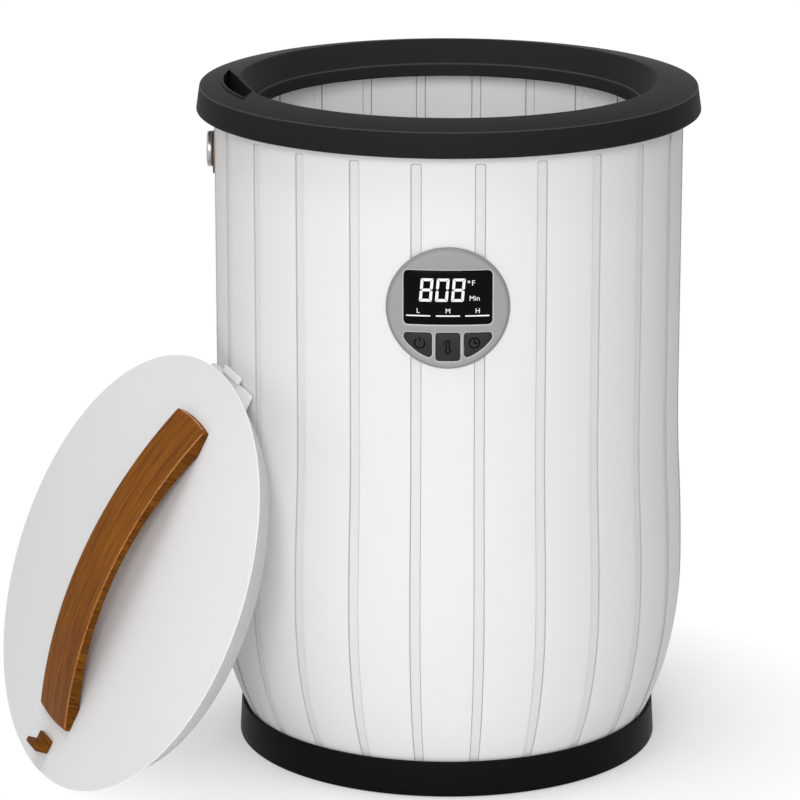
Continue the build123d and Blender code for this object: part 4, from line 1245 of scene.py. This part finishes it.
class BUCKET_OT_handle(Operator):
    """Makes the bowed wooden handle and the small hook"""

    bl_idname = "bucket.handle"
    bl_label = "Handle"

    def execute(self, context):
        lid = context.scene.lid_sizes
        colours = context.scene.bucket_colours
        place_lid = lid_matrix()
        lift, span = HANDLE_LIFT, HANDLE_SPAN
        half = lid.handle_length / 2

        def top_height(across):
            return bowed_height(across, half, lid.handle_peak, HANDLE_END)

        def gap_height(across):
            return max(0.0, bowed_height(across, span, lid.handle_gap, 0.0))

        def on_top(vert):
            across = min(abs(vert.co.x), half)
            return abs(vert.co.z - lift - top_height(across)) < 0.0006

        stations = [-half + lid.handle_length * step / 64 for step in range(65)]
        outline = [(across, lift + top_height(across)) for across in stations]
        inner = [-span + 2 * span * step / 48 for step in range(49)]
        under = [(across, lift + gap_height(across)) for across in reversed(inner)]
        foot = [(half, lift), *under, (-half, lift)]
        bm = bmesh.new()
        wide = lid.handle_width / 2
        face = bm.faces.new([bm.verts.new((x, -wide, z)) for x, z in outline + foot])
        slices = 10
        for step in range(slices):
            grown = pushed(bm, [face], (0.0, lid.handle_width / slices, 0.0))
            face = next(item for item in grown if isinstance(item, bmesh.types.BMFace))
        for vert in bm.verts:
            if abs(abs(vert.co.x) - half) < 0.000001:
                vert.co.x = math.copysign(math.sqrt(half**2 - vert.co.y**2), vert.co.x)
        bmesh.ops.recalc_face_normals(bm, faces=bm.faces)
        limit = math.radians(50.0)
        paired = [edge for edge in bm.edges if len(edge.link_faces) == 2]
        crisp = [edge for edge in paired if edge.calc_face_angle(0.0) > limit]
        upper = [edge for edge in crisp if min(vert.co.z - lift for vert in edge.verts) > 0.002]
        top = [edge for edge in upper if all(on_top(vert) for vert in edge.verts)]
        rounded = soften(bm, top, 0.0009, 3)
        bm.normal_update()
        # Faces that look sideways wear the second material, a darker copy of the wood as painted shade.
        for face in bm.faces:
            face.material_index = int(abs(face.normal.y) > 0.8)
        # The rounded top edge wears the third material, a lighter and glossier copy of the wood as a painted
        # highlight.
        for face in rounded["faces"]:
            face.material_index = 2
        bmesh.ops.transform(bm, matrix=place_lid, verts=bm.verts)
        light, dark = colours.wood_light, colours.wood_dark
        wood = oiled_wood("handle_wood", light, dark, place_lid)
        # Darker tones for the sides: painted shade.
        shaded = (tinted(light, 0.72), tinted(dark, 0.6))
        side = oiled_wood("handle_side_painted_shade_wood", *shaded, place_lid, (0.9, 0.04, 0.1))
        # Lighter tones for the top edge: a painted highlight.
        painted_highlight_tones = (tinted(light, 1.6), tinted(dark, 1.6))
        edge = oiled_wood("handle_edge_painted_highlight_wood", *painted_highlight_tones, place_lid, (0.5, 0.5, 0.1), 0.6)
        piece("handle", bm, "lid", [wood, side, edge], ["lid_handle"], sharp=38.0)

        hook = bmesh.new()
        foot = [(-0.1295, 0.0), (-0.1203, 0.0), (-0.1203, 0.0030)]
        post = [(-0.1259, 0.0030), (-0.1259, 0.0095), (-0.1295, 0.0095)]
        slab(hook, [(x, z + lift) for x, z in foot + post], -0.00775, 0.00775)
        soften(hook, [edge for edge in hook.edges if edge.calc_face_angle(0.0) > limit], 0.0006, 3)
        bmesh.ops.transform(hook, matrix=place_lid, verts=hook.verts)
        # The hook wears the handle's side wood, the darker copy made as painted shade.
        piece("hook", hook, "lid", [side], ["lid_hook"])
        steel = brushed_metal("wood_screw_steel", STEEL)
        dress("handle_screws", steel)
        dress("hook_screws", steel)
        return {"FINISHED"}


# ------------------------------------------------------------------ inner parts


class BUCKET_OT_inner_parts(Operator):
    """Finishes the heater, insulation and electronics inside the bucket"""

    bl_idname = "bucket.inner_parts"
    bl_label = "Inner parts"

    def execute(self, context):
        rubber = soft_rubber("gasket_rubber", (0.03, 0.03, 0.03))
        board = circuit_board("circuit_board")
        steel = brushed_metal("inner_steel", STEEL)
        dark = moulded_plastic("inner_plastic", (0.03, 0.03, 0.03), 0.5, fleck=0.05)
        finishes = {
            "rim_gasket": rubber,
            "heating_film": moulded_plastic("heating_film", (0.45, 0.12, 0.03), 0.4, fleck=0.1),
            "insulation_sleeve": pressed_felt("insulation_felt", (0.5, 0.5, 0.52)),
            "overheat_cutout": steel,
            "temperature_sensor": dark,
            "power_board": board,
            "control_board": board,
            "display_module": dark,
            "key_switches": dark,
            "board_screws": steel,
        }
        for node, material in finishes.items():
            dress(node, material)
        return {"FINISHED"}


# ------------------------------------------------------------------ stage

FADE_START = 0.04
FADE_END = 0.28
CAMERA_LENS = 183.75
CAMERA_PLACE = (0.0, -2.5454, 0.91843)
CAMERA_DOWN = 0.2671
CAMERA_ASIDE = 0.0121


def large_lamp(name, place_at, target, size, power):
    data = bpy.data.lights.new(name, "AREA")
    data.shape = "RECTANGLE"
    data.size, data.size_y = size
    data.energy = power
    lamp = bpy.data.objects.new(name, data)
    bpy.context.scene.collection.objects.link(lamp)
    lamp.location = place_at
    lamp.rotation_euler = (Vector(target) - Vector(place_at)).to_track_quat("-Z", "Y").to_euler()


def seen_straight(tree):
    """1 for what the camera sees straight, mirrored or through glass, and 0 for what gives light."""
    path = add_node(tree, "ShaderNodeLightPath")
    mirrored = add_node(tree, "ShaderNodeMath", operation="ADD", use_clamp=True)
    through = add_node(tree, "ShaderNodeMath", operation="ADD", use_clamp=True)
    tree.links.new(path.outputs["Is Camera Ray"], mirrored.inputs[0])
    tree.links.new(path.outputs["Is Glossy Ray"], mirrored.inputs[1])
    tree.links.new(mirrored.outputs[0], through.inputs[0])
    tree.links.new(path.outputs["Is Transmission Ray"], through.inputs[1])
    return through.outputs[0]


class BUCKET_OT_stage(Operator):
    """Makes the floor, the soft light and the camera"""

    bl_idname = "bucket.stage"
    bl_label = "Stage"

    def execute(self, context):
        scene = context.scene
        settings = scene.stage_settings
        scene.view_settings.view_transform = "Standard"
        world = bpy.data.worlds.new("studio")
        scene.world = world
        world.use_nodes = True
        tree = world.node_tree
        lit = tree.nodes["Background"]
        lit.inputs["Color"].default_value = (1.0, 1.0, 1.0, 1.0)
        lit.inputs["Strength"].default_value = settings.ambient
        plain = add_node(tree, "ShaderNodeBackground")
        plain.inputs["Color"].default_value = (1.0, 1.0, 1.0, 1.0)
        plain.inputs["Strength"].default_value = 1.0
        mix = add_node(tree, "ShaderNodeMixShader")
        tree.links.new(seen_straight(tree), mix.inputs[0])
        tree.links.new(lit.outputs[0], mix.inputs[1])
        tree.links.new(plain.outputs[0], mix.inputs[2])
        tree.links.new(mix.outputs[0], tree.nodes["World Output"].inputs["Surface"])

        bm = bmesh.new()
        bmesh.ops.create_circle(bm, cap_ends=True, segments=96, radius=6.0)
        bmesh.ops.translate(bm, verts=bm.verts, vec=(0.0, 0.0, -0.0002))
        floor = bpy.data.objects.new("floor", mesh_from(bm, "floor"))
        scene.collection.objects.link(floor)
        material, tree, bsdf = fresh_material("studio_floor")
        patches = grain(tree, place(tree), 3.0, 2.0)
        tint = shades(tree, patches, [(0.3, tinted(settings.floor, 0.995)), (0.7, settings.floor)])
        tree.links.new(tint, bsdf.inputs["Base Color"])
        bsdf.inputs["Roughness"].default_value = 0.9
        bsdf.inputs["Specular IOR Level"].default_value = 0.1
        glow = add_node(tree, "ShaderNodeEmission")
        glow.inputs["Strength"].default_value = 1.0
        mixed = add_node(tree, "ShaderNodeMixShader")
        away = add_node(tree, "ShaderNodeVectorMath", operation="LENGTH")
        tree.links.new(add_node(tree, "ShaderNodeTexCoord").outputs["Object"], away.inputs[0])
        fade = add_node(tree, "ShaderNodeMapRange", interpolation_type="LINEAR")
        fade.inputs["From Min"].default_value = FADE_START
        fade.inputs["From Max"].default_value = FADE_END
        tree.links.new(away.outputs["Value"], fade.inputs["Value"])
        both = add_node(tree, "ShaderNodeMath", operation="MULTIPLY")
        tree.links.new(fade.outputs["Result"], both.inputs[0])
        tree.links.new(seen_straight(tree), both.inputs[1])
        tree.links.new(both.outputs[0], mixed.inputs[0])
        tree.links.new(bsdf.outputs[0], mixed.inputs[1])
        tree.links.new(glow.outputs[0], mixed.inputs[2])
        tree.links.new(mixed.outputs[0], tree.nodes["Material Output"].inputs["Surface"])
        floor.data.materials.append(material)

        large_lamp("front_light", (-0.2, -2.5, 1.25), (0.0, 0.0, 0.2), (1.0, 1.0), settings.front_power)
        large_lamp("top_light", (-0.2, -0.2, 2.0), (0.0, 0.0, 0.3), (1.2, 1.2), settings.top_power)
        large_lamp("left_light", (-1.8, -1.3, 1.6), (0.0, 0.0, 0.2), (1.2, 1.2), settings.left_power)

        data = bpy.data.cameras.new("camera")
        data.lens = CAMERA_LENS
        data.sensor_width = 36.0
        data.clip_end = 50.0
        camera = bpy.data.objects.new("camera", data)
        scene.collection.objects.link(camera)
        camera.location = CAMERA_PLACE
        camera.rotation_euler = Euler((math.pi / 2 - CAMERA_DOWN, 0.0, CAMERA_ASIDE))
        scene.camera = camera
        return {"FINISHED"}


class BUCKET_PT_pieces(Panel):
    """Lists the sizes, the colours and the pieces"""

    bl_label = "Towel bucket"
    bl_idname = "BUCKET_PT_pieces"
    bl_space_type = "VIEW_3D"
    bl_region_type = "UI"
    bl_category = "Towel Bucket"

    def draw(self, context):
        for group in SETTINGS:
            settings = getattr(context.scene, group)
            box = self.layout.box()
            for name in settings.__annotations__:
                box.prop(settings, name)
        for operator in PIECES:
            self.layout.operator(operator.bl_idname)


SETTINGS = {
    "bucket_sizes": BucketSizes,
    "panel_sizes": PanelSizes,
    "lid_sizes": LidSizes,
    "bucket_colours": BucketColours,
    "stage_settings": StageSettings,
}
PIECES = (
    BUCKET_OT_shell,
    BUCKET_OT_lining,
    BUCKET_OT_base,
    BUCKET_OT_rim,
    BUCKET_OT_panel,
    BUCKET_OT_buttons,
    BUCKET_OT_stud,
    BUCKET_OT_lid,
    BUCKET_OT_handle,
    BUCKET_OT_inner_parts,
    BUCKET_OT_stage,
)


def register():
    for settings in SETTINGS.values():
        bpy.utils.register_class(settings)
    for operator in PIECES:
        bpy.utils.register_class(operator)
    bpy.utils.register_class(BUCKET_PT_pieces)
    for name, settings in SETTINGS.items():
        setattr(bpy.types.Scene, name, PointerProperty(type=settings))


def unregister():
    for name in SETTINGS:
        delattr(bpy.types.Scene, name)
    bpy.utils.unregister_class(BUCKET_PT_pieces)
    for operator in reversed(PIECES):
        bpy.utils.unregister_class(operator)
    for settings in reversed(list(SETTINGS.values())):
        bpy.utils.unregister_class(settings)


def main():
    register()
    for operator in PIECES:
        group, name = operator.bl_idname.split(".")
        getattr(getattr(bpy.ops, group), name)()


if __name__ == "__main__":
    main()
